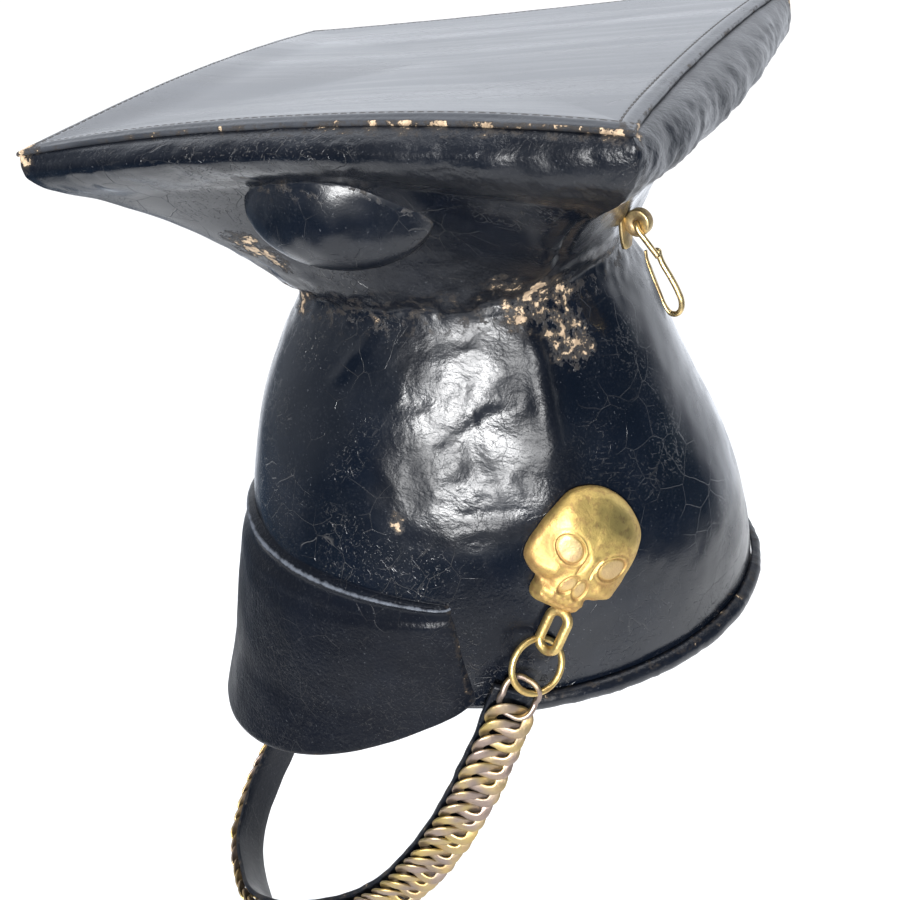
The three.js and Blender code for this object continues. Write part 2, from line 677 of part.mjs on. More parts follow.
// Snap hook: a curl through the eye, then a narrow loop bent from the same wire
function snapHook() {
  const lean = THREE.MathUtils.degToRad(HOOK.lean);
  const down = eyeOut.clone().multiplyScalar(Math.sin(lean)).addScaledVector(up, -Math.cos(lean));
  const away = eyeOut.clone().multiplyScalar(Math.cos(lean)).addScaledVector(up, Math.sin(lean));
  const at = (d, a, s) =>
    eyeMiddle.clone().addScaledVector(down, d).addScaledVector(away, a).addScaledVector(eyeSide, s);
  const route = [];
  for (let i = 0; i <= HOOK.curlSteps; i += 1) {
    const angle = THREE.MathUtils.lerp(HOOK.open, 2 * Math.PI, i / HOOK.curlSteps);
    route.push(at(HOOK.curl + Math.cos(angle) * HOOK.curl, 0, Math.sin(angle) * HOOK.curl));
  }
  const bend = (HOOK.outer - HOOK.inner) / 2;
  const middle = (HOOK.outer + HOOK.inner) / 2;
  route.push(at(HOOK.neck, HOOK.outer / 2, 0));
  route.push(at(HOOK.shoulder, HOOK.outer, 0));
  for (let i = 0; i <= HOOK.bendSteps; i += 1) {
    const angle = (i / HOOK.bendSteps) * Math.PI;
    route.push(at(HOOK.bottom - bend + Math.sin(angle) * bend, middle + Math.cos(angle) * bend, 0));
  }
  route.push(at(HOOK.shoulder, HOOK.inner, 0));
  route.push(at(HOOK.tip, HOOK.inner + HOOK.wire, 0));
  return wireAlong(route, HOOK.wire, HANG_SIDES);
}

// Wire along an open route, with its section carried from point to point
function wireAlong(route, wire, sides) {
  let side = new THREE.Vector3(0.3, 0.2, 1);
  const rings = route.map((point, i) => {
    const ahead = route[Math.min(i + 1, route.length - 1)];
    const behind = route[Math.max(i - 1, 0)];
    const along = ahead.clone().sub(behind).normalize();
    side = side.clone().addScaledVector(along, -side.dot(along)).normalize();
    return wireSection(point, side, along.clone().cross(side), wire, wire, sides);
  });
  return cappedRings(rings);
}
addPiece('snap_hook', snapHook(), BRASS);

export default cap;
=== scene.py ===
# Looks of the lancer cap: lacquered leather, cast brass and a chin chain.
# Sizes are in millimetres in the part's own frame and are scaled once, in add_piece.
import functools
import itertools
import math

import bmesh
import bpy
import numpy as np
from mathutils import Matrix


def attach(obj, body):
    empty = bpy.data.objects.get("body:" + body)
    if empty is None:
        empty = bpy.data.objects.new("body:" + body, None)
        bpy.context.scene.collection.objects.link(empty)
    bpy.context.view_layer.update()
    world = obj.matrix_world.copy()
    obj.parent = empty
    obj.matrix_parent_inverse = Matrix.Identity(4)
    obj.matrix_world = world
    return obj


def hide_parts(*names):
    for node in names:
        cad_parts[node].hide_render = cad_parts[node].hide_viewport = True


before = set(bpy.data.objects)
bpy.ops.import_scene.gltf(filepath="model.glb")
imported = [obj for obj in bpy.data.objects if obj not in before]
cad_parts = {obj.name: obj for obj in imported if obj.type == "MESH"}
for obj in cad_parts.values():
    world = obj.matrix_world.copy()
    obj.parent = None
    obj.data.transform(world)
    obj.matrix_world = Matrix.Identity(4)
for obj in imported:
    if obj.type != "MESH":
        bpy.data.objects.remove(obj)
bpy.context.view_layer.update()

MM = 0.001
TAU = 2 * math.pi
TINY = 1e-12
SEED = 11
LATTICE_SIZE = 64
RIDGE_TOP = 0.5
RIDGE_STEEP = 1.6

# Sizes shared with the part
LEATHER = 2.5
GAP = 0.3
SEAT = 0.4
RIM_SLOPE = math.tan(math.radians(3.7))
WAIST = 147.0
BOARD_TOP = 213.0
BOARD_REACH = 137.5
BOARD_CENTRE = -5.0
BAND_LOW = 201.0
BAND_TALL = 12.0
EDGE_RAISE = 4.0
RIGHT_CORNER_PULL = 13.0
DIAGONAL = math.sqrt(0.5)
UP = np.array((0, 0, 1.0))

# Sections of the shell: height, centre, half length, half width, power
SHELL_SECTIONS = np.array([
    [0, -0.8, 103.2, 87.5, 2.0],
    [30, -3.5, 102.5, 88, 2.0],
    [60, -6.6, 97.7, 87, 2.0],
    [85, -8.5, 89.1, 82, 1.95],
    [108, -8.4, 80.6, 75, 1.9],
    [131, -6.5, 70.5, 66, 1.8],
    [147, -5, 62.5, 59.5, 1.7],
    [153, -5, 68, 64, 1.6],
    [165, -5, 80, 78, 1.35],
    [179, -5, 98, 98, 1.15],
    [191, -5, 119, 119, 1.04],
    [196, -5, 131, 130, 1.05],
    [201, -5, 137.5, 136.5, 1.08],
    [207, -5, 139, 138.5, 1.08],
    [211.5, -5, 138.5, 138.5, 1.0],
    [213, -5, 137.5, 137.5, 0.93],
])

# Lift of the band's lower edge, from the front corner (-1) to the back corner (1)
BAND_LIFT = np.array([(-1, 3.8), (-0.45, 4.0), (0, -1.0), (0.5, -3.0), (1, -1.5)])

# Dents: bearing, height, spread, tall, depth
DENTS = (
    (-3, 105, 5, 32, -3),
    (12, 108, 9, 22, 2.5),
    (-55, 122, 14, 14, 2),
    (130, 112, 18, 20, 2.5),
    (205, 104, 16, 24, 3),
)

# Flattened side of the crown: direction it faces, depth, and heights where it fades out
FACET_WAY = np.array((0.88, -0.2775, 0.386))
FACET_DEEP = 1.75
FACET_SOFT = 1.0
FACET_FLAT = 0.7
FACET_FADE = (138.0, 152.0)
FACET_FOOT = 112.0
FACET_TAPER = 0.055
FACET_SWAY = ((0.9, 17.0, 9.0),)

# Creases in the shell: bearing and height at both ends, width, rise
CREASES = (
    (-33, 105, -3, 121, 4.0, -0.9),
    (-36, 101, -4, 117, 8.0, -0.9),
    (-33, 96, -22, 103, 3.0, -0.5),
    (-28, 149, -16, 150.5, 4.0, 2.0),
    (-1.4, 138, -3.0, 94, 2.3, 2.3),
    (-5.5, 127, -4.4, 107, 1.5, 1.2),
    (-2.5, 192, 5.5, 157, 2.2, -2.2),
    (-6.5, 190, 1.5, 157, 3.0, 1.2),
    (60, 118, 76, 140, 3.0, 1.2),
    (98, 98, 104, 136, 2.5, 1.2),
    (165, 108, 160, 140, 3.0, -1.6),
    (-160, 96, -146, 120, 3.0, 1.4),
    (-112, 108, -116, 138, 2.5, 1.2),
    (-64, 124, -52, 140, 2.0, 0.8),
)
CREASE_ENDS = ((-0.12, 0.2), (0.75, 1.12))
CREASE_SWAY = ((1.6, 9.0, 0.0),)

# Areas of the shell are given as bearing, height, spread, tall
AREA_EDGE = (0.6, 1.25)
CRUMPLES = (
    (-24, 122, 26, 30),
    (-22, 95, 28, 24),
    (-20, 158, 30, 13),
    (-5, 118, 4, 14),
    (128, 112, 14, 18),
    (-155, 106, 14, 16),
)
ROUGH_NECK = (
    (-18, 162, 34, 16),
    (140, 158, 40, 12),
    (-140, 158, 40, 12),
)
SATIN = (
    (-5, 122, 9, 27),
    (-5, 93, 9, 12),
    (-40, 98, 8, 18),
    (-26, 78, 16, 6),
    (-37, 136, 6, 12),
    (-24, 38, 14, 28),
)
UNCRACKED = ((-19, 52, 14, 20),)

# Waves and folds as layers of noise: strength, size, shift
SHELL_WAVES = ((0.6, 36.0, 0.0), (0.25, 14.0, 0.0), (0.08, 6.0, 0.0))
CRUMPLE_FOLDS = ((0.7, 14.0, 0.0), (0.3, 6.5, 3.3), (0.12, 3.2, 7.1))
BAND_LUMPS = ((0.5, 11.0, 5.1), (0.25, 5.0, 2.2))
NECK_FOLDS = ((0.8, 12.0, 4.4), (0.35, 4.5, 8.1))
NECK_GRAIN = ((0.3, 6.0, 0.0),)
BAND_WRINKLES = ((1.0, 4.6, 1.7),)
BACK_WRINKLES = ((0.22, 2.3, 6.3),)
PLATE_WAVES = ((0.4, 70.0, 2.5), (0.04, 24.0, 1.5))
LIP_GRAIN = ((0.1, 4.0, 0.0),)
LIP_LUMPS = ((0.3, 5.0, 6.0),)
WELT_LUMPS = ((0.35, 9.0, 1.0),)
WELT_FOLDS = ((0.3, 5.0, 2.0),)
VISOR_WAVES = ((0.55, 40.0, 8.0), (0.2, 15.0, 3.0), (0.06, 5.0, 0.0))
POCKET_WAVES = ((0.7, 16.0, 2.0), (0.3, 6.0, 4.0))
BOSS_WAVES = ((0.16, 3.6, 4.0), (0.25, 9.0, 1.0))

# How the folds are squeezed along x, y and z
CRUMPLE_SQUEEZE = (1.0, 1.0, 1.5)
BAND_SQUEEZE = (1.0, 1.0, 0.22)
NECK_SQUEEZE = (1.0, 1.0, 2.4)
WELT_SQUEEZE = (1.0, 1.0, 0.3)

# Heights where the rolled band and the relief of the shell start and end
BAND_START = (192, 199)
BAND_END = (209.5, 212)
RELIEF_START = (2, 14)
RELIEF_END = (210.5, 212.8)
NECK_LEVEL = 152
NECK_SPREAD = 14
# Change from the front to the back of the cap, as the sum of x and y, and wrinkles of the band in each
BACK_START = (-20, 60)
FRONT_WRINKLED = 0.15
BACK_WRINKLED = 0.4
# Bearings of the board's left front edge, on the shell and on the plate
SHELL_EDGE = ((-52, -40), (0, 3))
PLATE_EDGE = ((-52, -42), (1, 4))
# Bearings between which the lacquer of the crown is calm
CALM_SIDE = ((-12, -2), (60, 90))
# Worn upper edge of the board, and the dull front of the band round its left front bearing
EDGE_LEVELS = (210.6, 211.8)
FRONT_BAND_LEVELS = (204, 206.5)
FRONT_BAND_SPREAD = (40, 60)
LEFT_FRONT = -45
WAIST_LEVEL = 148
# Strength of wear, dullness and calm in the parts of the shell
SHELL_WEAR = {"edge": 0.2, "waist": 0.15}
SHELL_DULL = {"front_band": 0.8, "neck": 0.4, "rough_neck": 0.8, "back_band": 0.5, "satin": 0.75}
SHELL_CALM = {"side": 0.6, "uncracked": 0.75}

# Places rubbed down to the bare hide: x, y, z, radius, strength
WORN_SPOTS = (
    (60, -2, 149, 6.5, 1.0),
    (60, -8, 145, 7, 0.9),
    (57, 8, 145, 5, 0.9),
    (62, 4, 135, 9, 0.8),
    (64, 8, 129, 7, 0.75),
    (66, -15, 157, 6, 0.7),
    (64, -62, 84, 3.5, 1.0),
    (16, -84, 174, 7, 1.0),
    (20, -76, 168, 6, 0.8),
    (2, -68, 147, 7, 0.85),
    (135, -5, 212, 3.5, 0.9),
    (-58, 6, 148, 9, 0.9),
    (-30, 46, 150, 8, 0.8),
    (0, 62, 146, 7, 0.7),
    (0, 133, 209, 7, 0.9),
    (-133, -17, 209, 7, 0.9),
    (0, -142, 214, 6, 0.9),
)
WORN_SHARE = 0.62
WORN_EDGE = (0.3, 1.6)

# Mesh of the shell: outer rows from, to and how many, then inner rows as height and inset
SHELL_AROUND = 520
EVEN_TURNS = 0.45
SHELL_ROWS = ((0, 76, 36), (76, WAIST, 58), (WAIST, 190, 30), (190, BOARD_TOP, 34))
INNER_STRIDE = 4
FLANGE = 9.0
LINING = 4.2
LINING_CLEAR = 1.5
LINING_LEVELS = (
    201, 196, 191, 185, 179, 172, 165, 158, 153, 147, 139, 131, 120, 108, 97, 85, 72, 60, 45, 30,
)
INSIDE_ROWS = (
    (213, FLANGE), (210.5, FLANGE), (210.5, 3.0), (206, 3.4),
    *((level, LINING) for level in LINING_LEVELS),
    (15, 3.4), (6, LEATHER), (0, LEATHER),
)

# Top plate with its sewn edge
PLATE_THICK = 2.0
PLATE_DIP = 0.5
PLATE_FLAT = 0.88
PLATE_OVERHANG = 0.6
PLATE_AROUND = 480
PLATE_ROWS = ((0.02, 0.9, 34), (0.907, 0.988, 16))
PLATE_BORDER = (0.7, 0.98)
PLATE_GENTLE = 0.45
PLATE_LIPS = ((0.996, 1.1), (1.001, 0.85), (1.004, 0.4), (1.004, -0.1), (1.001, -0.5), (0.996, -0.6))
PLATE_UNDER = (0.95, PLATE_FLAT, 0.4, 0.02)
SEAM_SHARE = 0.954
STITCH_SINK = 0.15
STITCH = {"pitch": 2.9, "half_long": 1.0, "half_wide": 0.42, "rise": 0.22}
STITCH_ROWS = np.array((-1.0, -0.75, -0.3, 0.3, 0.75, 1.0))
STITCH_AROUND = 8

# Visor: rows of its profile from, to and how many, and lip rows as share down and share outwards
VISOR_THICK = 3.0
VISOR_SPAN = math.radians(63)
VISOR_SEAM = (65.0, 53.0)
VISOR_LOW = (-21.0, 9.0)
VISOR_FLARE = 30.0
VISOR_COLUMNS = 260
VISOR_SUNK = 2.4
VISOR_THIN = 0.3
VISOR_THICKENS = (0.02, 0.18)
VISOR_ENDS = {"thin": 0.1, "sunk": 0.035, "plain": 0.06}
VISOR_INNER = (0, 0.985, 22)
VISOR_OUTER = ((0.985, 0.11, 62), (0.104, 0.014, 30))
VISOR_LIP = [(0.996, 0.1), (1.0, 0.28), (1.003, 0.5), (1.002, 0.73), (0.997, 0.92)]
VISOR_TOP = [(0.006, 0.4), (0.0, -0.6), (-0.003, -1.6)]

# Rolled welt of the rim: profile as share outwards and share upwards
WELT_TALL = 7.0
WELT_PROUD = 3.6
WELT_START = VISOR_SPAN + 0.05
WELT_STEPS = 420
WELT_PROFILE = np.array([
    (0, 0.02), (0.35, -0.02), (0.7, 0.04), (0.9, 0.16), (1.0, 0.33), (1.02, 0.5), (0.97, 0.66),
    (0.82, 0.82), (0.58, 0.93), (0.3, 0.99), (0, 1.0), (0, 0.66), (0, 0.33),
])

# Cockade pocket
POCKET = {"x": 54.0, "y": -58.0, "z": 191.0, "long": 32.0, "tall": 21.0, "deep": 16.0}
POCKET_RAISE = 7.5
POCKET_AROUND = 160
POCKET_ROWS = 90
POCKET_SUNK = 1.0
HALVINGS = 30

# Skull bosses: outline as turn from the top and reach from the middle
BOSS_PLACE = (-6.0, 65.5)
BOSS_LEAN = math.radians(43.5)
BOSS_RISE = 5.8
BOSS_EDGE = 1.6
BOSS_SEAT = 0.5
BOSS_DOME = 3.0
BOSS_OUTLINE = np.array([
    (0, 21.5), (30, 21.8), (50, 22.2), (68, 20.6), (90, 19.5), (105, 20.2), (120, 21.0),
    (135, 19.6), (146, 18.4), (155, 22.0), (162, 23.4), (171, 22.8), (180, 22.4),
])
BOSS_AROUND = 220
BOSS_RINGS = 76
BOSS_BACK = ((1.003, 1.1), (1.0, 0.4), (0.985, 0.0), (0.6, 0.0), (0.01, 0.0))
EYE_ACROSS = 9.3
EYE_HALF = (5.2, 4.4)
NOSE_LOBE = (2.4, -10.3, 2.6, 3.6)
BRIDGE_ROWS = ((-7.5, -5), (0, 2.5))
TEETH_PITCH = 2.6
TEETH_LINE = -19.3
CHEEK_LOW = (5.5, 8)

# Stains of the fittings: strength, size, shift, and the noise above which they show
FITTING_STAINS = (0.4, 4.0, 3.0, 0.35)
TONGUE_STAINS = (0.4, 3.0, 5.0, 0.1)
TONGUE_DARK = 0.25
HOOK_STAINS = (0.3, 5.0, 1.0, 0.0)

# Loops and rings under the bosses
HANG_LEAN = math.radians(31)
HANG_DOWN = np.array((0, -math.sin(HANG_LEAN), -math.cos(HANG_LEAN)))
HANG_ACROSS = np.array((0, math.cos(HANG_LEAN), -math.sin(HANG_LEAN)))
HANG_STEPS = 72
HANG_AROUND = 16
LOOP = {"top": 22.6, "bottom": 38.2, "half": 3.6, "wire": 1.3, "turn": 0.95}
LOOP_MIDDLE = 32.7
LOOP_WIRE = (1.7, 1.75)
RING_LEAN = math.radians(18)
RING = {"middle": 45.2, "radius": 10.0}
RING_WIRE = (1.2, 1.2)

# Chin strap: left half of its middle line, and its profile as shares of width and thickness
STRAP_ROUTE = np.array([
    (88.6, -36.8, 15.2), (88, -62, -28), (80, -83, -62), (68, -103, -87),
    (52, -124, -103), (34, -142, -114.3), (17, -151.3, -121.3), (0, -153, -124),
], float)
STRAP_HUB = np.array((0, -60, -75.0))
STRAP_WIDE = 17.8
STRAP_THICK = 2.0
STRAP_STEPS = 420
STRAP_FINE = 80
STRAP_RIPPLE = ((0.45, 7.0, 4.0),)
STRAP_SAG = ((0.25, 18.0, 6.0),)
STRAP_PROFILE = np.array([
    (-0.5, -0.25), (-0.5, -0.75), (-0.49, -0.95), (-0.47, -1.0), (-0.25, -1.02), (0, -1.03),
    (0.25, -1.02), (0.47, -1.0), (0.49, -0.95), (0.5, -0.75), (0.5, -0.25), (0.49, -0.05), (0.47, 0),
    (0.25, 0.02), (0, 0.03), (-0.25, 0.02), (-0.47, 0), (-0.49, -0.05),
])

# Chain: sizes of its links, and the range of each link's skew, lift and wear
LINK = {"long": 14.2, "wide": 18.2, "weave": 1.15, "wire_wide": 2.4, "wire_thick": 0.55}
END_LINK = {"long": 18.0, "wide": 14.5, "weave": 1.35, "wire_wide": 1.05, "wire_thick": 1.05}
RING_WEAVE = 1.7
LINK_PITCH = 6.5
FIRST_LINK = 9.7
CHAIN_LIFT = 2.95
LINK_STEPS = 44
LINK_SQUARE = 0.65
LINK_RANGE = ((-0.16, -0.2, 0.76), (0.16, 0.25, 1.04))
LINK_GREY = (0.4, 1.1)
END_GREY = 0.9

# Hook plate: eye, its half profile as reach and side, tongue as height and half width
EYE = {"bearing": math.radians(34), "z": 166.0, "off": 5.3, "outer": 4.5, "hole": 1.3}
EYE_STEPS = 48
EYE_PROFILE = (
    (EYE["hole"], 1.4), (EYE["hole"] + 0.25, 1.75), (EYE["outer"] - 0.5, 1.8),
    (EYE["outer"] - 0.12, 1.65), (EYE["outer"], 1.3),
)
TONGUE_OUTLINE = (
    (-9.0, 1.6), (-8.7, 2.4), (-6.0, 3.3), (-2.0, 3.7), (2.0, 3.9), (5.0, 3.9), (5.6, 3.2), (5.8, 2.6),
)
TONGUE_SECTION = np.array([
    (-1, -0.55), (-0.4, -0.6), (0.4, -0.6), (1, -0.55), (1, 0.45), (0.9, 0.65), (0, 0.75), (-0.9, 0.65),
    (-1, 0.45),
])

# Wire clip: two routes of its wire as down, away and sideways from the eye
HOOK_LEAN = math.radians(21)
HOOK_STUB = (
    (0.1, 0, 2.4), (0, 0, 0.8), (0, 0, -0.9), (0.5, 0.1, -2.0), (2.0, 0.4, -2.6), (6, 1.4, -2.3),
    (12.5, 3.0, -1.6),
)
HOOK_ARM = (
    (11.2, 1.2, 0.6), (10.6, 1.9, 0.3), (11.0, 2.7, 0.1), (12.6, 2.5, 0), (15.5, 2.6, 0), (20, 3.4, 0),
    (25, 4.0, 0), (29, 3.9, 0), (31.6, 2.6, 0), (32.7, 0.6, 0), (32.0, -1.5, 0), (29.5, -2.4, 0),
    (24, -2.5, 0), (17, -2.5, 0), (12, -2.2, 0), (9.5, -1.5, 0),
)
HOOK_FINE = 8
HOOK_WIRE = 0.95
ARM_WIRE = 1.15
ARM_THIN = (0.62, 0.78)
WIRE_AROUND = 12

# Camera of the photograph: place, right, up and back directions, lens
CAMERA_PLACE = (347.9, -114.0, 273.1)
CAMERA_AXES = ((0.3296, 0.9328, -0.1459), (-0.4326, 0.2866, 0.8548), (0.8392, -0.2187, 0.498))
CAMERA_LENS = 40.87
CAMERA_SENSOR = 36.0
CAMERA_CLIP = (0.01, 200.0)

# Floor and light, in metres and watts
FLOOR_Z = -0.34
FLOOR_RADIUS = 0.75
FLOOR_AROUND = 96
FLOOR_TONES = ((0.58, 0.58, 0.58, 1.0), (0.6, 0.6, 0.6, 1.0))
# Glow of the wall behind the cap and of the sky in front: direction, where it starts and is full, strength
GLOWS = (((-0.825, 0.553, 0.12), 0.44, 0.74, 1.68), ((-0.55, -0.69, 0.46), 0.6, 1.0, 0.6))
GLOW_TONE = (0.97, 0.99, 1.03, 1.0)
ROOM_TONE = (0.62, 0.92, 1.4, 1.0)
ROOM_GLOW = 0.14
BACKDROP_TONE = (1.0, 1.0, 1.0, 1.0)
BACKDROP_GLOW = 1.1
# Lights: name, place, target, size, power
LIGHTS = (
    ("key", (1.98, -0.89, 0.7), (0.06, -0.03, 0.11), 0.5, 145.0),
    ("fill", (1.2, -0.62, 1.05), (0.08, -0.01, 0.07), 1.0, 6.5),
    ("overhead", (0.2, 0.7, 2.4), (0.0, 0.0, 0.1), 1.6, 95.0),
)


# Numbers
def smoothstep(value, low, high):
    share = np.clip((value - low) / (high - low), 0, 1)
    return share * share * (3 - 2 * share)


def fall(value, low, high):
    return 1 - smoothstep(value, low, high)


def between(value, start, end):
    return smoothstep(value, *start) * fall(value, *end)


def bell(value, spread):
    return np.exp(-((value / spread) ** 2))


def strongest(*shares):
    return functools.reduce(np.maximum, shares)


def half_turn(degrees):
    return (degrees + 180) % 360 - 180


def turns(count):
    return np.arange(count) / count * TAU


def unit(vector):
    return vector / np.linalg.norm(vector, axis=-1, keepdims=True)


def column(table, index, at):
    """Smooth value of a table's column at places on its first column."""
    keys = table[:, 0]
    values = table[:, index]
    slopes = np.empty_like(values)
    slopes[1:-1] = (values[2:] - values[:-2]) / (keys[2:] - keys[:-2])
    slopes[0] = (values[1] - values[0]) / (keys[1] - keys[0])
    slopes[-1] = (values[-1] - values[-2]) / (keys[-1] - keys[-2])
    i = np.clip(np.searchsorted(keys, at, side="right") - 1, 0, len(keys) - 2)
    span = keys[i + 1] - keys[i]
    t = (at - keys[i]) / span
    rise = t * t * (3 - 2 * t)
    bend = (1 - t) * slopes[i] - t * slopes[i + 1]
    return values[i] * (1 - rise) + values[i + 1] * rise + span * t * (1 - t) * bend


LATTICE = np.random.default_rng(SEED).random((LATTICE_SIZE,) * 3) * 2 - 1


def noise(points, size, shift=0.0):
    """Smooth random values from -1 to 1 with features of about this size."""
    place = points / size + shift
    cell = np.floor(place).astype(int)
    part = place - cell
    part = part * part * (3 - 2 * part)
    value = np.zeros(points.shape[:-1])
    for corner in itertools.product((0, 1), repeat=3):
        weight = np.prod(np.where(corner, part, 1 - part), axis=-1)
        x, y, z = np.moveaxis((cell + corner) % LATTICE_SIZE, -1, 0)
        value += weight * LATTICE[x, y, z]
    return value


def ridged(points, size, shift=0.0):
    """Noise with sharp crests, as in crumpled leather."""
    return RIDGE_TOP - np.abs(noise(points, size, shift)) * RIDGE_STEEP


def waves(points, layers, kind=noise):
    return sum(strength * kind(points, size, shift) for strength, size, shift in layers)


def stains(points, strength, size, shift, above):
    return strength * (noise(points, size, shift) > above)


def run_lengths(line):
    steps = np.linalg.norm(np.diff(line, axis=0), axis=1)
    return np.concatenate([[0], np.cumsum(steps)])


def on_line(at, lengths, line):
    return np.stack([np.interp(at, lengths, line[:, k]) for k in range(3)], -1)


def smooth_route(points, steps):
    """Centripetal curve through points, as a fine line."""
    whole = np.vstack([2 * points[0] - points[1], points, 2 * points[-1] - points[-2]])
    share = np.linspace(0, 1, steps, endpoint=False)[:, None]
    line = []
    for a, b, c, d in zip(whole, whole[1:], whole[2:], whole[3:]):
        before, here, after = (np.linalg.norm(v) ** 0.5 for v in (b - a, c - b, d - c))
        start = ((b - a) / before - (c - a) / (before + here) + (c - b) / here) * here
        end = ((c - b) / here - (d - b) / (here + after) + (d - c) / after) * here
        line.append(
            b * (2 * share**3 - 3 * share**2 + 1) + start * (share**3 - 2 * share**2 + share)
            + c * (3 * share**2 - 2 * share**3) + end * (share**3 - share**2)
        )
    return np.vstack(line + [points[-1:]])


# Meshes
def grid_faces(rows, columns, wrap_rows=False):
    """Faces of a grid whose columns go round."""
    row_count = rows if wrap_rows else rows - 1
    i, j = np.meshgrid(np.arange(row_count), np.arange(columns), indexing="ij")
    low = i * columns
    high = ((i + 1) % rows) * columns
    after = (j + 1) % columns
    return np.stack([low + j, low + after, high + after, high + j], -1).reshape(-1, 4).tolist()


def grid_normals(points):
    """Outward normals of a grid of rows going up and columns going round."""
    up = np.gradient(points, axis=0)
    along = (np.roll(points, -1, axis=1) - np.roll(points, 1, axis=1)) / 2
    return unit(np.cross(along, up) + TINY)


def fan(ring, middle):
    """Triangles from a closed ring of point numbers to one middle point."""
    return [[a, b, middle] for a, b in zip(ring, ring[1:] + ring[:1])]


def bridge(fine, coarse):
    """Triangles between a ring of points and one with a fourth as many."""
    faces = []
    ratio = len(fine) // len(coarse)
    half = ratio // 2
    for j, here in enumerate(coarse):
        after = coarse[(j + 1) % len(coarse)]
        ring = [fine[(j * ratio + k) % len(fine)] for k in range(ratio + 1)]
        for k in range(ratio):
            faces.append([ring[k], ring[k + 1], here if k < half else after])
        faces.append([ring[half], after, here])
    return faces


def tube_rings(route, side, wide, thick, count, closed, square=1.0):
    """Rings round a route, oval or nearer to a rectangle. Side is the wide axis."""
    if closed:
        along = np.roll(route, -1, axis=0) - np.roll(route, 1, axis=0)
    else:
        along = np.gradient(route, axis=0)
    along = unit(along)
    side = np.broadcast_to(side, route.shape)
    side = unit(side - along * np.sum(side * along, -1, keepdims=True))
    other = np.cross(along, side)
    turn = turns(count)
    wide = np.broadcast_to(wide, (len(route),))[:, None, None]
    thick = np.broadcast_to(thick, (len(route),))[:, None, None]
    c, s = (np.sign(v) * np.abs(v) ** square for v in (np.cos(turn), np.sin(turn)))
    rings = c[None, :, None] * side[:, None] * wide
    rings = rings + s[None, :, None] * other[:, None] * thick
    return route[:, None] + rings


def looped(rings):
    """Points and faces of a tube that closes on itself."""
    return rings.reshape(-1, 3), grid_faces(*rings.shape[:2], wrap_rows=True)


def capped(rings):
    """Points and faces of an open tube with its two ends closed."""
    rows, columns = rings.shape[:2]
    points = np.vstack([rings.reshape(-1, 3), rings[0].mean(0), rings[-1].mean(0)])
    faces = grid_faces(rows, columns)
    faces += fan(list(range(columns)), rows * columns)
    last = (rows - 1) * columns
    faces += fan(list(range(last, last + columns)), rows * columns + 1)
    return points, faces


def joined(parts):
    """Points and faces of several parts as those of one."""
    points = []
    faces = []
    start = 0
    for part_points, part_faces in parts:
        points.append(part_points)
        faces += [[start + k for k in face] for face in part_faces]
        start += len(part_points)
    return np.vstack(points), faces


def add_object(name, data):
    item = bpy.data.objects.new(name, data)
    bpy.context.scene.collection.objects.link(item)
    return item


def place_object(item, axes, place):
    matrix = np.eye(4)
    matrix[:3, :3] = np.stack(axes, 1)
    matrix[:3, 3] = place
    item.matrix_world = Matrix(matrix.tolist())


def add_piece(name, points, faces, material, nodes, slot="leather", body="cap", **values):
    """One closed piece in the part's frame, with its body and point values; the slot is not used."""
    mesh = bpy.data.meshes.new(name)
    mesh.from_pydata((np.asarray(points).reshape(-1, 3) * MM).tolist(), [], faces)
    shape = bmesh.new()
    shape.from_mesh(mesh)
    bmesh.ops.recalc_face_normals(shape, faces=shape.faces)
    shape.to_mesh(mesh)
    shape.free()
    mesh.shade_smooth()
    for key, value in values.items():
        layer = mesh.attributes.new(key, "FLOAT", "POINT")
        layer.data.foreach_set("value", np.asarray(value, np.float32).ravel())
    mesh.materials.append(material)
    piece = add_object(name, mesh)
    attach(piece, body)
    if nodes:
        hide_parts(*nodes)


# Materials
def colour(red, green, blue):
    return (red, green, blue, 1.0)


class Nodes:
    """A node tree that is built line by line."""

    def __init__(self, owner):
        owner.use_nodes = True
        self.tree = owner.node_tree
        self.tree.nodes.clear()

    def add(self, kind, settings=None, **inputs):
        node = self.tree.nodes.new(kind)
        for key, value in (settings or {}).items():
            setattr(node, key, value)
        for key, value in inputs.items():
            self.feed(node.inputs[key.replace("_", " ")], value)
        return node

    def feed(self, socket, value):
        if isinstance(value, bpy.types.NodeSocket):
            self.tree.links.new(value, socket)
        else:
            socket.default_value = value

    def result(self, kind, entries, output=0, **settings):
        """An output of a new node that is fed in the order of its inputs."""
        node = self.add(kind, settings)
        for socket, entry in zip(node.inputs, entries):
            self.feed(socket, entry)
        return node.outputs[output]

    def math(self, operation, first, second):
        return self.result("ShaderNodeMath", (first, second), operation=operation)

    def times(self, first, second):
        return self.math("MULTIPLY", first, second)

    def plus(self, first, second):
        return self.math("ADD", first, second)

    def most(self, first, second):
        return self.math("MAXIMUM", first, second)

    def remap(self, value, low, high, start=0.0, end=1.0):
        entries = (value, low, high, start, end)
        return self.result("ShaderNodeMapRange", entries, interpolation_type="SMOOTHSTEP")


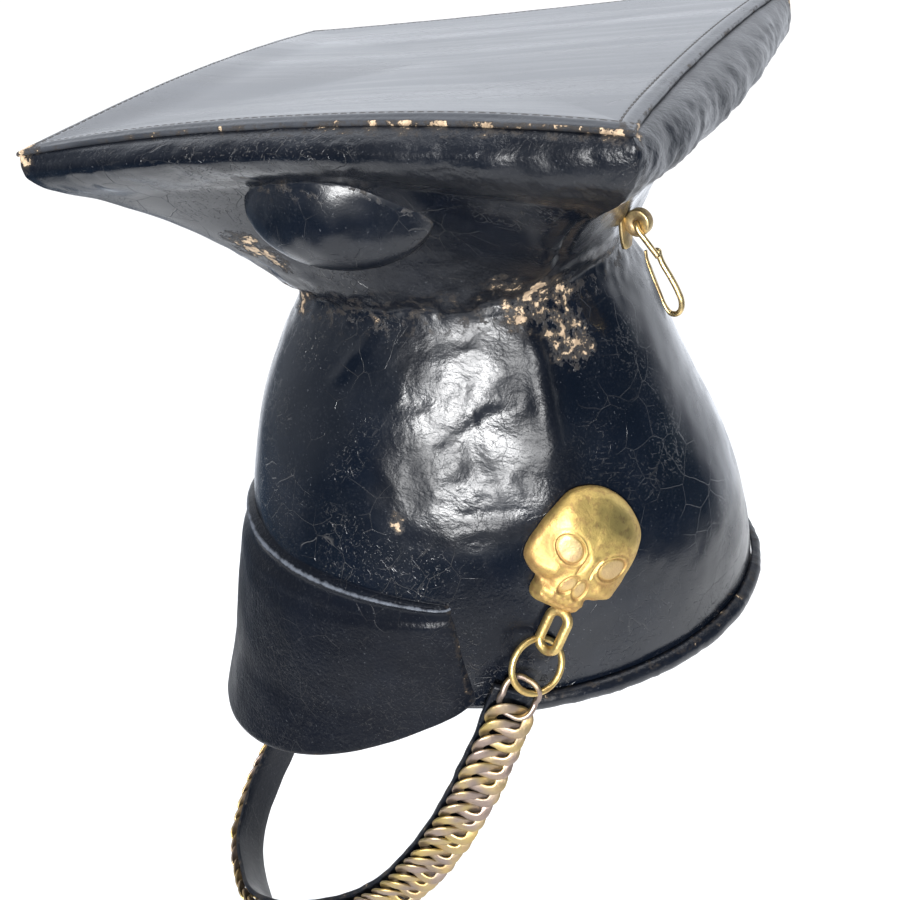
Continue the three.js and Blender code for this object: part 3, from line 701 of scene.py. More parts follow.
class Shader(Nodes):
    """A material with noise, cracks and bumps in the piece's own coordinates."""

    def __init__(self, name):
        self.material = bpy.data.materials.new(name)
        super().__init__(self.material)
        self.coords = self.add("ShaderNodeTexCoord").outputs["Object"]

    def value(self, name):
        node = self.add("ShaderNodeAttribute", {"attribute_name": name})
        return node.outputs["Fac"]

    def noise(self, scale, detail=2.0, vector=None, rough=0.5):
        node = self.add("ShaderNodeTexNoise", Scale=scale, Detail=detail, Roughness=rough)
        self.feed(node.inputs["Vector"], vector or self.coords)
        return node.outputs["Fac"]

    def mix(self, share, first, second):
        node = self.add("ShaderNodeMix", {"data_type": "RGBA"})
        for index, entry in ((0, share), (6, first), (7, second)):
            self.feed(node.inputs[index], entry)
        return node.outputs[2]

    def stretched(self, scale, turn):
        """Coordinates turned first, then scaled along each of the turned axes."""
        size = tuple(1 / k for k in scale)
        inputs = {"Vector": self.coords, "Scale": size, "Rotation": turn}
        return self.add("ShaderNodeMapping", {"vector_type": "TEXTURE"}, **inputs).outputs[0]

    def warped(self, scale, reach):
        """Coordinates pushed about by noise, so that lines wander."""
        wander = self.add("ShaderNodeTexNoise", Scale=scale, Detail=2.0, Vector=self.coords)
        entries = (wander.outputs["Color"], (reach,) * 3, self.coords)
        return self.result("ShaderNodeVectorMath", entries, operation="MULTIPLY_ADD")

    def cracks(self, scale, width, vector):
        node = self.add("ShaderNodeTexVoronoi", {"feature": "DISTANCE_TO_EDGE"}, Scale=scale)
        self.feed(node.inputs["Vector"], vector)
        return self.remap(node.outputs["Distance"], 0.0, width, 1.0, 0.0)

    def bump(self, height, distance, strength, normal=None):
        node = self.add("ShaderNodeBump", Height=height, Distance=distance, Strength=strength)
        if normal:
            self.feed(node.inputs["Normal"], normal)
        return node.outputs[0]

    def finish(self, **inputs):
        node = self.add("ShaderNodeBsdfPrincipled", **inputs)
        self.add("ShaderNodeOutputMaterial", Surface=node.outputs[0])
        return self.material


BLACK = colour(0.0011, 0.002, 0.0042)
HAZE = colour(0.0022, 0.0035, 0.0068)
DUST = colour(0.095, 0.1, 0.108)
CRACK = colour(0.19, 0.18, 0.165)
SCAB = colour(0.02, 0.0165, 0.014)
# Blue-grey of the visor's seam line: scuffed lacquer, with a painted highlight along the seam ridge
SCUFF_SHEEN_TONE = colour(0.082, 0.09, 0.106)
HIDE = colour(0.38, 0.285, 0.19)
DARK_HIDE = colour(0.2, 0.145, 0.095)
RAW = colour(0.055, 0.036, 0.024)
STREAK = colour(0.06, 0.064, 0.072)
LACQUER_IOR = 1.4

# Fine straight scratches, crinkles and streaks: how they are stretched and turned
SCRATCHES = (
    ((1300.0, 1300.0, 24.0), (0.5, 0.2, 0.0)),
    ((1500.0, 1500.0, 30.0), (1.25, -0.3, 0.3)),
    ((1300.0, 1300.0, 20.0), (-0.75, 0.3, 0.2)),
)
CRINKLE = ((760.0, 760.0, 300.0), (0.95, 0.0, 0.2))
PLATE_STREAKS = ((4.0, 60.0, 20.0), (0.0, 0.0, math.radians(45)))
BRASS_SCRATCH = ((500.0, 2600.0, 700.0), (0.0, 0.0, 0.5))


def leather(name, base_rough=0.2, streaks=False, crack_share=1.0):
    """Black lacquer over hide: grain, cracks, crumples and worn patches."""
    s = Shader(name)
    wear, rub, crumple = (s.value(key) for key in ("wear", "rub", "crumple"))
    calm, dull, inside = (s.value(key) for key in ("calm", "dull", "inside"))
    blotch = s.noise(38.0, 5.0, rough=0.62)
    fine = s.noise(420.0, 3.0)
    grain = s.noise(1500.0, 2.0)
    wander = s.warped(60.0, 0.004)
    patch = s.remap(s.noise(30.0, 3.0), 0.42, 0.6)
    broken = s.remap(s.noise(48.0, 3.0), 0.47, 0.6)
    wide_cracks = s.times(s.cracks(88.0, 0.0085, wander), broken)
    gaps = s.times(patch, s.remap(s.noise(300.0, 2.0), 0.5, 0.62))
    fine_cracks = s.times(s.cracks(230.0, 0.03, wander), gaps)
    crack = s.most(wide_cracks, fine_cracks)
    for scale, turn in SCRATCHES:
        line = s.remap(s.noise(1.0, 1.0, s.stretched(scale, turn)), 0.67, 0.74)
        crack = s.most(crack, s.times(line, patch))
    crack = s.times(crack, s.remap(crumple, 0.0, 1.0, crack_share, 0.3 * crack_share))
    crack = s.times(crack, s.remap(calm, 0.0, 1.0, 1.0, 0.0))
    dust = s.remap(s.noise(950.0, 4.0, rough=0.75), 0.5, 0.74)
    dust = s.times(dust, s.remap(s.noise(70.0, 4.0), 0.35, 0.7, 0.01, 0.11))
    dust = s.most(dust, s.remap(s.noise(1300.0, 2.0), 0.68, 0.76, 0.0, 0.4))
    torn = s.times(s.math("SUBTRACT", s.noise(250.0, 9.0, rough=0.7), 0.5), 3.0)
    reach = s.plus(wear, torn)
    able = s.remap(wear, 0.03, 0.12)
    bare = s.times(s.remap(reach, 0.55, 0.64), able)
    scab = s.times(s.remap(reach, 0.12, 0.5), able)
    tone = s.mix(s.remap(blotch, 0.38, 0.75, 0.0, 0.9), BLACK, HAZE)
    relief = s.bump(grain, 0.0002, 0.12)
    if streaks:
        line = s.noise(1.0, 6.0, s.stretched(*PLATE_STREAKS), 0.7)
        tone = s.mix(s.remap(line, 0.35, 0.75, 0.1, 0.9), tone, STREAK)
        rough = s.remap(line, 0.3, 0.7, base_rough - 0.06, base_rough + 0.08)
        relief = s.bump(line, 0.0006, 0.08, relief)
    else:
        rough = s.remap(s.noise(55.0, 3.0), 0.3, 0.75, base_rough - 0.05, base_rough + 0.1)
        relief = s.bump(s.noise(38.0, 2.0), 0.004, 0.1, relief)
    # Seam line of the visor: scuffs, with a painted blue-grey highlight along the ridge
    rubbed = s.remap(s.plus(rub, s.times(torn, 0.6)), 0.2, 0.85)
    rubbed = s.times(rubbed, s.remap(rub, 0.05, 0.2))
    tone = s.mix(s.times(dull, 0.06), tone, SCAB)
    tone = s.mix(dust, tone, DUST)
    tone = s.mix(s.times(crack, 0.14), tone, CRACK)
    tone = s.mix(s.times(scab, 0.8), tone, SCAB)
    tone = s.mix(rubbed, tone, SCUFF_SHEEN_TONE)
    tone = s.mix(bare, tone, s.mix(s.remap(fine, 0.35, 0.65), DARK_HIDE, HIDE))
    tone = s.mix(inside, tone, RAW)
    for share, added in ((scab, 0.3), (dull, 0.06), (inside, 0.4), (crumple, 0.12)):
        rough = s.plus(rough, s.times(share, added))
    crinkle = s.times(s.noise(1.0, 5.0, s.stretched(*CRINKLE), 0.6), crumple)
    pits = s.times(s.noise(700.0, 3.0), s.most(dull, scab))
    relief = s.bump(crinkle, 0.00045, 0.5, relief)
    relief = s.bump(pits, 0.0003, 0.7, relief)
    relief = s.bump(s.plus(crack, bare), -0.0003, 0.6, relief)
    shine = s.plus(s.remap(dull, 0.0, 1.0, 0.5, 0.12), s.times(crumple, 0.2))
    return s.finish(
        Base_Color=tone, Roughness=rough, Normal=relief, IOR=LACQUER_IOR, Specular_IOR_Level=shine
    )


BROWN_BRASS = colour(0.34, 0.215, 0.085)
DARK_PIT = colour(0.12, 0.08, 0.05)
PINK_AND_GREY = (colour(0.28, 0.205, 0.17), colour(0.15, 0.13, 0.115))
PALE_EYES = (colour(0.5, 0.37, 0.22), colour(0.42, 0.3, 0.18))
THREAD_TONES = (colour(0.012, 0.012, 0.013), colour(0.035, 0.032, 0.03))
THREAD_ROUGH = 0.75


def brass(name, base, rough_low, rough_high, worn=BROWN_BRASS, tints=PINK_AND_GREY):
    """Cast brass: bright where handled, brown in the hollows and in painted shade, finely scratched."""
    s = Shader(name)
    hollow = s.value("hollow")
    tint = s.value("tint")
    cloud = s.noise(95.0, 4.0)
    scratch = s.noise(1.0, 3.0, s.stretched(*BRASS_SCRATCH))
    pit = s.remap(s.noise(900.0, 1.0), 0.74, 0.8)
    mottle = s.remap(s.noise(420.0, 4.0, rough=0.7), 0.46, 0.68, 0.0, 0.7)
    # This share also carries the painted shade on the skull's sides and lower part.
    stain = s.plus(s.remap(cloud, 0.45, 0.8, 0.0, 0.5), s.times(hollow, 0.9))
    stain = s.plus(stain, mottle)
    tone = s.mix(s.math("MINIMUM", stain, 1.0), base, worn)
    tone = s.mix(tint, tone, s.mix(cloud, *tints))
    tone = s.mix(s.times(pit, 0.6), tone, DARK_PIT)
    rough = s.plus(s.remap(cloud, 0.3, 0.7, rough_low, rough_high), s.times(hollow, 0.15))
    normal = s.bump(scratch, 0.00012, 0.35)
    normal = s.bump(s.noise(260.0, 5.0, rough=0.65), 0.0006, 0.5, normal)
    return s.finish(Base_Color=tone, Metallic=1.0, Roughness=rough, Normal=normal)


def thread(name):
    s = Shader(name)
    twist = s.noise(2400.0, 2.0)
    tone = s.mix(twist, *THREAD_TONES)
    return s.finish(Base_Color=tone, Roughness=THREAD_ROUGH, Normal=s.bump(twist, 0.0002, 0.6))


SHELL_LEATHER = leather("shell_leather")
PLATE_LEATHER = leather("plate_leather", 0.3, True, 0.2)
VISOR_LEATHER = leather("visor_leather", 0.27, False, 0.35)
TRIM_LEATHER = leather("trim_leather", 0.27, False, 0.3)
SKULL_BRASS = brass("skull_brass", colour(0.55, 0.405, 0.135), 0.42, 0.58, tints=PALE_EYES)
FITTING_BRASS = brass("fitting_brass", colour(0.47, 0.345, 0.135), 0.38, 0.54)
CHAIN_BRASS = brass("chain_brass", colour(0.36, 0.275, 0.1), 0.4, 0.58)
HOOK_BRASS = brass("hook_brass", colour(0.55, 0.42, 0.2), 0.3, 0.5, colour(0.25, 0.18, 0.1))
DARK_THREAD = thread("dark_thread")


# Shell of crown, neck and board
def section(height):
    """Centre, half length, half width and power of the shell at heights."""
    return [column(SHELL_SECTIONS, k, height) for k in range(1, 5)]


def dent_depth(angle, height):
    depth = np.zeros(np.broadcast(angle, height).shape)
    for bearing, level, spread, tall, deep in DENTS:
        across = half_turn(np.degrees(angle) - bearing)
        depth += deep * bell(across, spread) * bell(height - level, tall)
    return depth


def section_points(height, angle, inset=0.0):
    """Points of the shell's outer skin, drawn in by an inset."""
    height = np.asarray(height, float)
    angle = np.asarray(angle, float)
    centre, length, width, power = section(height)
    wall = inset * 2 ** (1 / power - 0.5) + dent_depth(angle, height)
    across = np.sign(np.cos(angle)) * np.abs(np.cos(angle)) ** (2 / power)
    along = np.sign(np.sin(angle)) * np.abs(np.sin(angle)) ** (2 / power)
    x = across * (width - wall)
    share = smoothstep(height, WAIST, BAND_LOW)
    y = centre + along * (length - wall)
    y = y - RIGHT_CORNER_PULL * share * np.maximum(0, -x / BOARD_REACH)
    low_share = np.clip(1 - height / WAIST, 0, 1)
    middle = 1 - (np.abs(across) - np.abs(along)) ** 2
    under = np.clip((BOARD_TOP - height) / BAND_TALL, 0, 1)
    lift = np.where(np.sin(angle) < 0, EDGE_RAISE * middle, 0)
    lift = lift + under * column(BAND_LIFT, 1, np.clip(along, -1, 1))
    return np.stack([x, y, height - RIM_SLOPE * y * low_share + share * lift], -1)


def height_on(y, z):
    height = (z + RIM_SLOPE * y) / (1 + RIM_SLOPE * y / WAIST)
    return np.clip(height, 0, WAIST)


def side_reach(side, y, z):
    """Distance of the crown's side from the middle plane."""
    height = height_on(y, z)
    centre, length, width, power = section(height)
    share = np.clip(np.abs((y - centre) / length), 0, 1)
    across = (1 - share**power) ** (1 / power)
    angle = np.arctan2((y - centre) / length, side * across)
    return across * (width - dent_depth(angle, height))


def shell_angles(count):
    """Angles spaced between even turns and even steps along a square's edges."""
    step = np.arange(count) / count
    quarter, share = np.divmod(step * 4, 1)
    edge = (quarter + np.arcsin(np.sqrt(share)) / (TAU / 4)) * (TAU / 4)
    return EVEN_TURNS * step * TAU + (1 - EVEN_TURNS) * edge


def bearing_of(points):
    return np.degrees(np.arctan2(points[..., 1] - BOARD_CENTRE, points[..., 0]))


def back_share(points):
    return smoothstep(points[..., 1] + points[..., 0], *BACK_START)


def areas(points, height, table):
    """How far each point lies inside the areas of a table, from 0 to 1."""
    bearing = bearing_of(points)
    share = np.zeros(height.shape)
    for middle, level, spread, tall in table:
        oval = np.hypot(half_turn(bearing - middle) / spread, (height - level) / tall)
        share = np.maximum(share, fall(oval, *AREA_EDGE))
    return share


def worn(points):
    share = np.zeros(points.shape[:-1])
    for x, y, z, radius, strength in WORN_SPOTS:
        distance = np.linalg.norm(points - (x, y, z), axis=-1)
        spot = fall(distance, radius * WORN_EDGE[0], radius * WORN_EDGE[1])
        share = np.maximum(share, WORN_SHARE * strength * spot)
    return share


def creases(points, height):
    """Rise of the drawn creases: a line each, which fades at both ends."""
    bearing = bearing_of(points)
    radius = np.hypot(points[..., 0], points[..., 1] - BOARD_CENTRE)
    wobble = waves(points, CREASE_SWAY)
    total = np.zeros(height.shape)
    for from_bearing, from_height, to_bearing, to_height, width, rise in CREASES:
        arc = np.radians(half_turn(bearing - from_bearing)) * radius
        end = np.radians(half_turn(to_bearing - from_bearing)) * radius
        climb = to_height - from_height
        span_sq = end**2 + climb**2
        t = (arc * end + (height - from_height) * climb) / span_sq
        off = (arc * climb - (height - from_height) * end) / np.sqrt(span_sq)
        total += rise * between(t, *CREASE_ENDS) * bell(off + wobble, width)
    return total


def flattened(points, height, limit):
    """Points with one pressed, nearly flat side on the crown."""
    out = points @ unit(FACET_WAY)
    share = fall(height, *FACET_FADE)
    excess = FACET_SOFT * np.logaddexp(0, (out - limit) / FACET_SOFT) * share * FACET_FLAT
    return points - excess[..., None] * unit(FACET_WAY)


def shell_relief(points, height):
    """Height of folds and waves on the shell, in mm outwards."""
    crumple = areas(points, height, CRUMPLES)
    folds = waves(points * CRUMPLE_SQUEEZE, CRUMPLE_FOLDS, ridged)
    band = between(height, BAND_START, BAND_END)
    back = back_share(points)
    wrinkle = (FRONT_WRINKLED + BACK_WRINKLED * back) * waves(points * BAND_SQUEEZE, BAND_WRINKLES, ridged)
    wrinkle = band * (wrinkle + back * waves(points, BACK_WRINKLES, ridged))
    neck = waves(points * NECK_SQUEEZE, NECK_FOLDS, ridged) + waves(points, NECK_GRAIN)
    neck = neck * bell(height - NECK_LEVEL, NECK_SPREAD)
    total = waves(points, SHELL_WAVES) + crumple * folds + wrinkle + band * waves(points, BAND_LUMPS)
    total = total + neck + creases(points, height)
    return total * between(height, RELIEF_START, RELIEF_END)


def make_shell():
    parts = [np.linspace(low, high, count, endpoint=False) for low, high, count in SHELL_ROWS]
    heights = np.concatenate(parts + [[BOARD_TOP]])
    angles = shell_angles(SHELL_AROUND)
    level = np.repeat(heights[:, None], SHELL_AROUND, 1)
    skin = section_points(level, angles[None, :])
    limit = (skin[level < FACET_FADE[0]] @ unit(FACET_WAY)).max() - FACET_DEEP
    taper = FACET_TAPER * np.maximum(0, FACET_FOOT - level)
    skin = flattened(skin, level, limit + taper + waves(skin, FACET_SWAY))
    skin = skin + grid_normals(skin) * shell_relief(skin, level)[..., None]
    inner_angles = angles[::INNER_STRIDE]
    lining = np.stack([section_points(h, inner_angles, inset) for h, inset in INSIDE_ROWS])
    inner_level = np.array([h for h, _ in INSIDE_ROWS])[:, None]
    lining = flattened(lining, inner_level, limit - LINING - LINING_CLEAR)
    grids = (skin, lining)
    points, faces = joined([(grid.reshape(-1, 3), grid_faces(*grid.shape[:2])) for grid in grids])
    around = len(inner_angles)
    first = level.size
    last = len(points) - around
    faces += bridge(list(range(first - SHELL_AROUND, first)), list(range(first, first + around)))
    faces += bridge(list(range(SHELL_AROUND)), list(range(last, last + around)))
    bearing = bearing_of(skin)
    from_front = np.abs(half_turn(bearing - LEFT_FRONT))
    back_band = smoothstep(level, *BAND_START) * back_share(skin)
    places = {
        "edge": smoothstep(level, *EDGE_LEVELS) * between(bearing, *SHELL_EDGE),
        "waist": bell(level - WAIST_LEVEL, 9),
        "front_band": smoothstep(level, *FRONT_BAND_LEVELS) * fall(from_front, *FRONT_BAND_SPREAD),
        "neck": bell(level - NECK_LEVEL, 12),
        "rough_neck": areas(skin, level, ROUGH_NECK),
        "back_band": back_band,
        "satin": areas(skin, level, SATIN),
        "side": between(bearing, *CALM_SIDE) * (level < WAIST),
        "uncracked": areas(skin, level, UNCRACKED),
    }
    wear, dull, calm = (
        strongest(*(strength * places[key] for key, strength in table.items()))
        for table in (SHELL_WEAR, SHELL_DULL, SHELL_CALM)
    )
    shares = {
        "wear": np.maximum(wear, worn(skin)), "dull": dull, "calm": calm,
        "crumple": np.maximum(areas(skin, level, CRUMPLES), back_band),
    }
    unlined = np.zeros(len(points) - first)
    add_piece(
        "cap_shell", points, faces, SHELL_LEATHER, ["crown", "mortarboard"],
        inside=np.arange(len(points)) >= first,
        **{key: np.append(share, unlined) for key, share in shares.items()},
    )


# Top plate with its sewn edge
def plate_ring(share, lift, angles):
    edge = section_points(BOARD_TOP, angles, -PLATE_OVERHANG)
    flat = np.array((0, BOARD_CENTRE, BOARD_TOP)) * (1 - share) + edge * share
    rise = smoothstep(share, 0, PLATE_FLAT)
    raised = (edge[:, 2] - BOARD_TOP) / EDGE_RAISE
    gentle = BOARD_TOP + PLATE_GENTLE * EDGE_RAISE * raised * np.abs(raised)
    near = smoothstep(share, *PLATE_BORDER)
    border = gentle * (1 - near) + edge[:, 2] * near
    flat[:, 2] = (BOARD_TOP - PLATE_DIP) * (1 - rise) + border * rise + lift
    return flat


def make_plate():
    angles = shell_angles(PLATE_AROUND)
    shares = np.concatenate([np.linspace(*row) for row in PLATE_ROWS])
    top = np.stack([plate_ring(share, GAP + PLATE_THICK, angles) for share in shares])
    groove = bell(shares - SEAM_SHARE, 0.006)[:, None]
    lip = smoothstep(shares, 0.962, 0.975)[:, None]
    bend = smoothstep(shares, 0.965, 0.992)[:, None]
    wave = waves(top, PLATE_WAVES) * (1 - 0.7 * lip)
    top[..., 2] += wave - 0.2 * groove - 0.8 * bend + lip * waves(top, LIP_GRAIN)
    edge = np.stack([plate_ring(share, GAP + lift, angles) for share, lift in PLATE_LIPS])
    edge += waves(edge, LIP_LUMPS)[..., None] * unit(edge - (0, 0, BOARD_TOP))
    under = np.stack([plate_ring(share, GAP, angles) for share in PLATE_UNDER])
    points, faces = capped(np.concatenate([top, edge, under]))
    share = np.concatenate([shares, [x for x, _ in PLATE_LIPS], np.zeros(len(PLATE_UNDER))])
    share = np.append(np.repeat(share, PLATE_AROUND), (0, 0))
    near = between(bearing_of(points), *PLATE_EDGE)
    rubbed = near * (0.34 + 0.3 * noise(points, 22.0, 3.0))
    wear = np.maximum(rubbed, 0.15) * smoothstep(share, 0.995, 1.001)
    add_piece(
        "top_sheet", points, faces, PLATE_LEATHER, ["top_plate"],
        wear=np.maximum(wear, worn(points)), dull=0.5 * smoothstep(share, 0.96, 0.99),
    )
    line = plate_ring(SEAM_SHARE, GAP + PLATE_THICK - STITCH_SINK, shell_angles(4 * PLATE_AROUND))
    line[:, 2] += waves(line, PLATE_WAVES)
    sew("plate_stitching", np.vstack([line, line[:1]]))


def sew(name, line):
    """A row of stitches along a line, as one piece of short raised threads."""
    lengths = run_lengths(line)
    count = int(lengths[-1] / STITCH["pitch"])
    places = (np.arange(count) + 0.5) / count * lengths[-1]
    middles = on_line(places, lengths, line)
    along = unit(on_line(places + 0.5, lengths, line) - middles)
    across = unit(np.cross(UP, along))
    turn = turns(STITCH_AROUND)[None, :, None]
    size = np.sqrt(1 - np.clip(np.abs(STITCH_ROWS), 0, 0.97) ** 3)[:, None, None]
    parts = []
    for middle, ahead, side in zip(middles, along, across):
        spine = middle + STITCH_ROWS[:, None] * ahead * STITCH["half_long"]
        spoke = np.cos(turn) * side * STITCH["half_wide"] + np.sin(turn) * UP * STITCH["rise"]
        parts.append(capped(spine[:, None] + size * spoke))
    add_piece(name, *joined(parts), DARK_THREAD, [])


# Visor
def visor_points(side, down, outset):
    seam = VISOR_SEAM[0] + (VISOR_SEAM[1] - VISOR_SEAM[0]) * side**2
    low = VISOR_LOW[0] + (VISOR_LOW[1] - VISOR_LOW[0]) * np.abs(side) ** 2.4
    angle = -TAU / 4 + side * VISOR_SPAN
    z = seam + (low - seam) * down
    flare = VISOR_FLARE * np.clip(1 - side**2, 0, 1) ** 2.6 * np.maximum(down, 0) ** 1.15
    y = section_points(height_on(np.zeros_like(z), z), angle, -GAP)[..., 1]
    points = section_points(height_on(y, z), angle, -(GAP + flare + outset))
    points[..., 2] = z
    return points


def visor_thick(down):
    return VISOR_THICK * (VISOR_THIN + (1 - VISOR_THIN) * smoothstep(down, *VISOR_THICKENS))


def make_visor():
    side = np.linspace(-1, 1, VISOR_COLUMNS)
    from_end = 1 - np.abs(side)
    inner = [(down, 0.0) for down in np.linspace(*VISOR_INNER)]
    outside = [(down, 1.0) for row in VISOR_OUTER for down in np.linspace(*row)]
    profile = np.array(inner + VISOR_LIP + outside + VISOR_TOP)
    depth, proud = profile.T
    ends = VISOR_THIN + (1 - VISOR_THIN) * smoothstep(from_end, 0, VISOR_ENDS["thin"])
    sunk = VISOR_SUNK * fall(from_end, 0, VISOR_ENDS["sunk"])
    loops = np.stack([
        visor_points(side, down, SEAT - GAP + share * ends * visor_thick(down) - sunk)
        for down, share in profile
    ], 1)
    along = np.gradient(loops, axis=0)
    down_way = np.roll(loops, -1, 1) - np.roll(loops, 1, 1)
    outward = unit(np.cross(along, down_way) + TINY)
    outward *= np.sign(np.sum(outward * unit(loops * (1, 1, 0)), -1, keepdims=True))
    is_outer = (proud > 0.6) * smoothstep(from_end, 0, VISOR_ENDS["plain"])[:, None]
    seam_roll = 1.5 * bell(depth - 0.04, 0.02) - 0.3 * bell(depth - 0.095, 0.025)
    fold = 0.7 * bell(depth - 0.2 + 0.07 * side[:, None], 0.03) * smoothstep(side, 0.0, 0.3)[:, None]
    bulge = (waves(loops, VISOR_WAVES) + seam_roll - fold) * is_outer
    points, faces = capped(loops + outward * bulge[..., None])
    down = np.append(np.tile(depth, VISOR_COLUMNS), (0.5, 0.5))
    outer = np.append(np.tile(np.arange(len(profile)) >= len(inner), VISOR_COLUMNS), (True, True))
    end = np.append(np.repeat(from_end, len(profile)), (0, 0))
    wear = np.maximum(0.15 * smoothstep(down, 0.975, 1.0), 0.2 * bell(end - 0.025, 0.012))
    # A thin blue-grey line just below the seam: scuffs, with a painted highlight along the seam ridge
    add_piece(
        "visor_peak", points, faces, VISOR_LEATHER, ["visor"],
        wear=wear * outer, rub=0.75 * bell(down - 0.034, 0.011) * outer,
        dull=np.ones(len(points)), inside=0.8 * (1 - outer) * (down > 0.15),
    )


# Rolled welt of the rim
def make_welt():
    angles = np.linspace(-TAU / 4 + WELT_START, 0.75 * TAU - WELT_START, WELT_STEPS)
    rings = np.stack([
        section_points(up * WELT_TALL, angles, -(SEAT + out * WELT_PROUD)) for out, up in WELT_PROFILE
    ], 1)
    free = (WELT_PROFILE[:, 0] > 0.2)[None, :, None]
    lumps = waves(rings, WELT_LUMPS) + waves(rings * WELT_SQUEEZE, WELT_FOLDS, ridged)
    rings = rings + unit(rings - rings.mean(1, keepdims=True)) * lumps[..., None] * free
    points, faces = capped(rings)
    high = np.append(np.tile(WELT_PROFILE[:, 1], WELT_STEPS), (0, 0))
    add_piece(
        "rim_welt", points, faces, TRIM_LEATHER, ["rim_binding"],
        wear=0.03 + 0.12 * smoothstep(high, 0.6, 0.95),
        dull=0.2 + 0.7 * smoothstep(high, 0.5, 0.9), crumple=np.full(len(points), 0.3),
    )


# Cockade pocket
def face_reach(along, z):
    """Distance of the neck's front left face from the axis, along its outward line."""
    height = np.clip(z - POCKET_RAISE * smoothstep(z, WAIST, BAND_LOW), WAIST, BOARD_TOP)
    _, length, width, power = section(height)
    low = np.abs(along)
    high = low + BOARD_REACH
    for _ in range(HALVINGS):
        reach = (low + high) / 2
        x = np.abs(reach + along) * DIAGONAL / width
        y = np.abs(reach - along) * DIAGONAL / length
        outside = x**power + y**power > 1
        high = np.where(outside, reach, high)
        low = np.where(outside, low, reach)
    return (low + high) / 2


def make_pocket():
    tilts = np.linspace(0.02, math.pi - 0.02, POCKET_ROWS)
    tilt, turn = np.meshgrid(tilts, turns(POCKET_AROUND), indexing="ij")
    along = POCKET["long"] * np.sin(tilt) * np.cos(turn)
    deep = POCKET["deep"] * np.cos(tilt) * (1 - 0.65 * smoothstep(along, 0, POCKET["long"]))
    s = (POCKET["x"] + POCKET["y"] - BOARD_CENTRE) * DIAGONAL + along
    d = (POCKET["x"] - POCKET["y"] + BOARD_CENTRE) * DIAGONAL + deep
    z = POCKET["z"] + POCKET["tall"] * np.sin(tilt) * np.sin(turn)
    wall = face_reach(s, z)
    soft = waves(np.stack([s, d, z], -1), POCKET_WAVES)
    proud = d - wall
    d = np.where(proud > -POCKET_SUNK, d + soft * smoothstep(proud, 0, 5), wall - POCKET_SUNK)
    rings = np.stack([(d + s) * DIAGONAL, BOARD_CENTRE + (s - d) * DIAGONAL, z], -1)
    points, faces = capped(rings)
    proud = np.append(proud.ravel(), (20, 0))
    upper = smoothstep(points[:, 2], 190, 204)
    add_piece(
        "pocket_cup", points, faces, TRIM_LEATHER, ["cockade_pocket"],
        wear=np.maximum(0.15 * bell(proud - 1.0, 1.6), 0.16 * upper), dull=0.3 * upper, crumple=0.7 * upper,
    )


# Skull bosses
def boss_points(side, across, up, out):
    y = BOSS_PLACE[0] + across * math.cos(BOSS_LEAN) + up * math.sin(BOSS_LEAN)
    z = BOSS_PLACE[1] - across * math.sin(BOSS_LEAN) + up * math.cos(BOSS_LEAN)
    return np.stack([side * (side_reach(side, y, z) + BOSS_SEAT + out), y, z], -1)


def skull_relief(across, up):
    """Carving of the skull over its plain dome, how dark each place is from patina in its hollows and from
    painted shade on its sides, and how pale each place is.
    """
    wide = np.abs(across)
    past_eye = wide - EYE_ACROSS
    eye = np.hypot(past_eye / EYE_HALF[0], (up - 0.18 * past_eye) / EYE_HALF[1])
    lobe_across, lobe_up, lobe_wide, lobe_tall = NOSE_LOBE
    lobe = np.hypot((wide - lobe_across) / lobe_wide, (up - lobe_up + 0.35 * wide) / lobe_tall)
    rise = 1.3 * bell(across, 15) * bell(up - 9, 10)
    # Eyes and nose
    rise -= 0.5 * fall(eye, 1.0, 1.6)
    rise += 0.4 * bell(eye - 1.16, 0.09)
    rise -= 0.35 * bell(eye - 1.0, 0.07)
    hollow = 0.9 * bell(eye - 1.0, 0.07) + 0.4 * bell(eye - 1.34, 0.07)
    rise -= 0.5 * fall(lobe, 0.95, 1.4)
    rise += 0.25 * bell(lobe - 1.2, 0.12)
    rise -= 0.3 * bell(lobe - 1.0, 0.1)
    hollow += 0.9 * bell(lobe - 1.02, 0.12)
    # Bridge of the nose
    bridge_rows = between(up, *BRIDGE_ROWS)
    rise -= 0.7 * bell(wide - 2.3 - 0.024 * (up + 2) ** 2, 0.55) * bridge_rows
    rise += 0.5 * bell(across, 1.6) * bridge_rows
    hollow += 0.6 * bell(wide - 2.3, 0.6) * bridge_rows
    # Cheeks and temples
    below_cheek = smoothstep(wide, *CHEEK_LOW)
    rise += bell(up + 9.5 + 0.16 * (wide - 12), 2.3) * smoothstep(wide, 6.5, 10)
    rise -= bell(up + 14.2, 1.8) * below_cheek
    hollow += 0.7 * bell(up + 14.4, 1.6) * below_cheek
    rise -= 0.8 * bell(wide - 17.5, 3.2) * bell(up + 1, 5.5)
    # Jaw and teeth
    jaw = fall(up, -16.5, -14.5)
    row = smoothstep(up, -22.5, -21.5)
    teeth = np.cos(across / TEETH_PITCH * TAU)
    rise += jaw * (0.8 + 0.1 * teeth * row)
    rise -= 0.4 * bell(up - TEETH_LINE - 0.02 * across**2, 0.7) * jaw
    hollow += jaw * (0.3 * bell(up - TEETH_LINE, 0.8) + 0.1 * (1 - teeth) * row)
    # Painted shade, in brown: darker towards the right, lower and left parts of the skull
    hollow += 0.3 * smoothstep(across, 5, 17) + 0.4 * fall(up, -4, 7) + 0.35 * smoothstep(-across, 8, 17)
    pale = np.maximum(fall(eye, 0.7, 0.95), 0.8 * fall(lobe, 0.5, 0.9))
    return rise, np.clip(hollow, 0, 1), pale


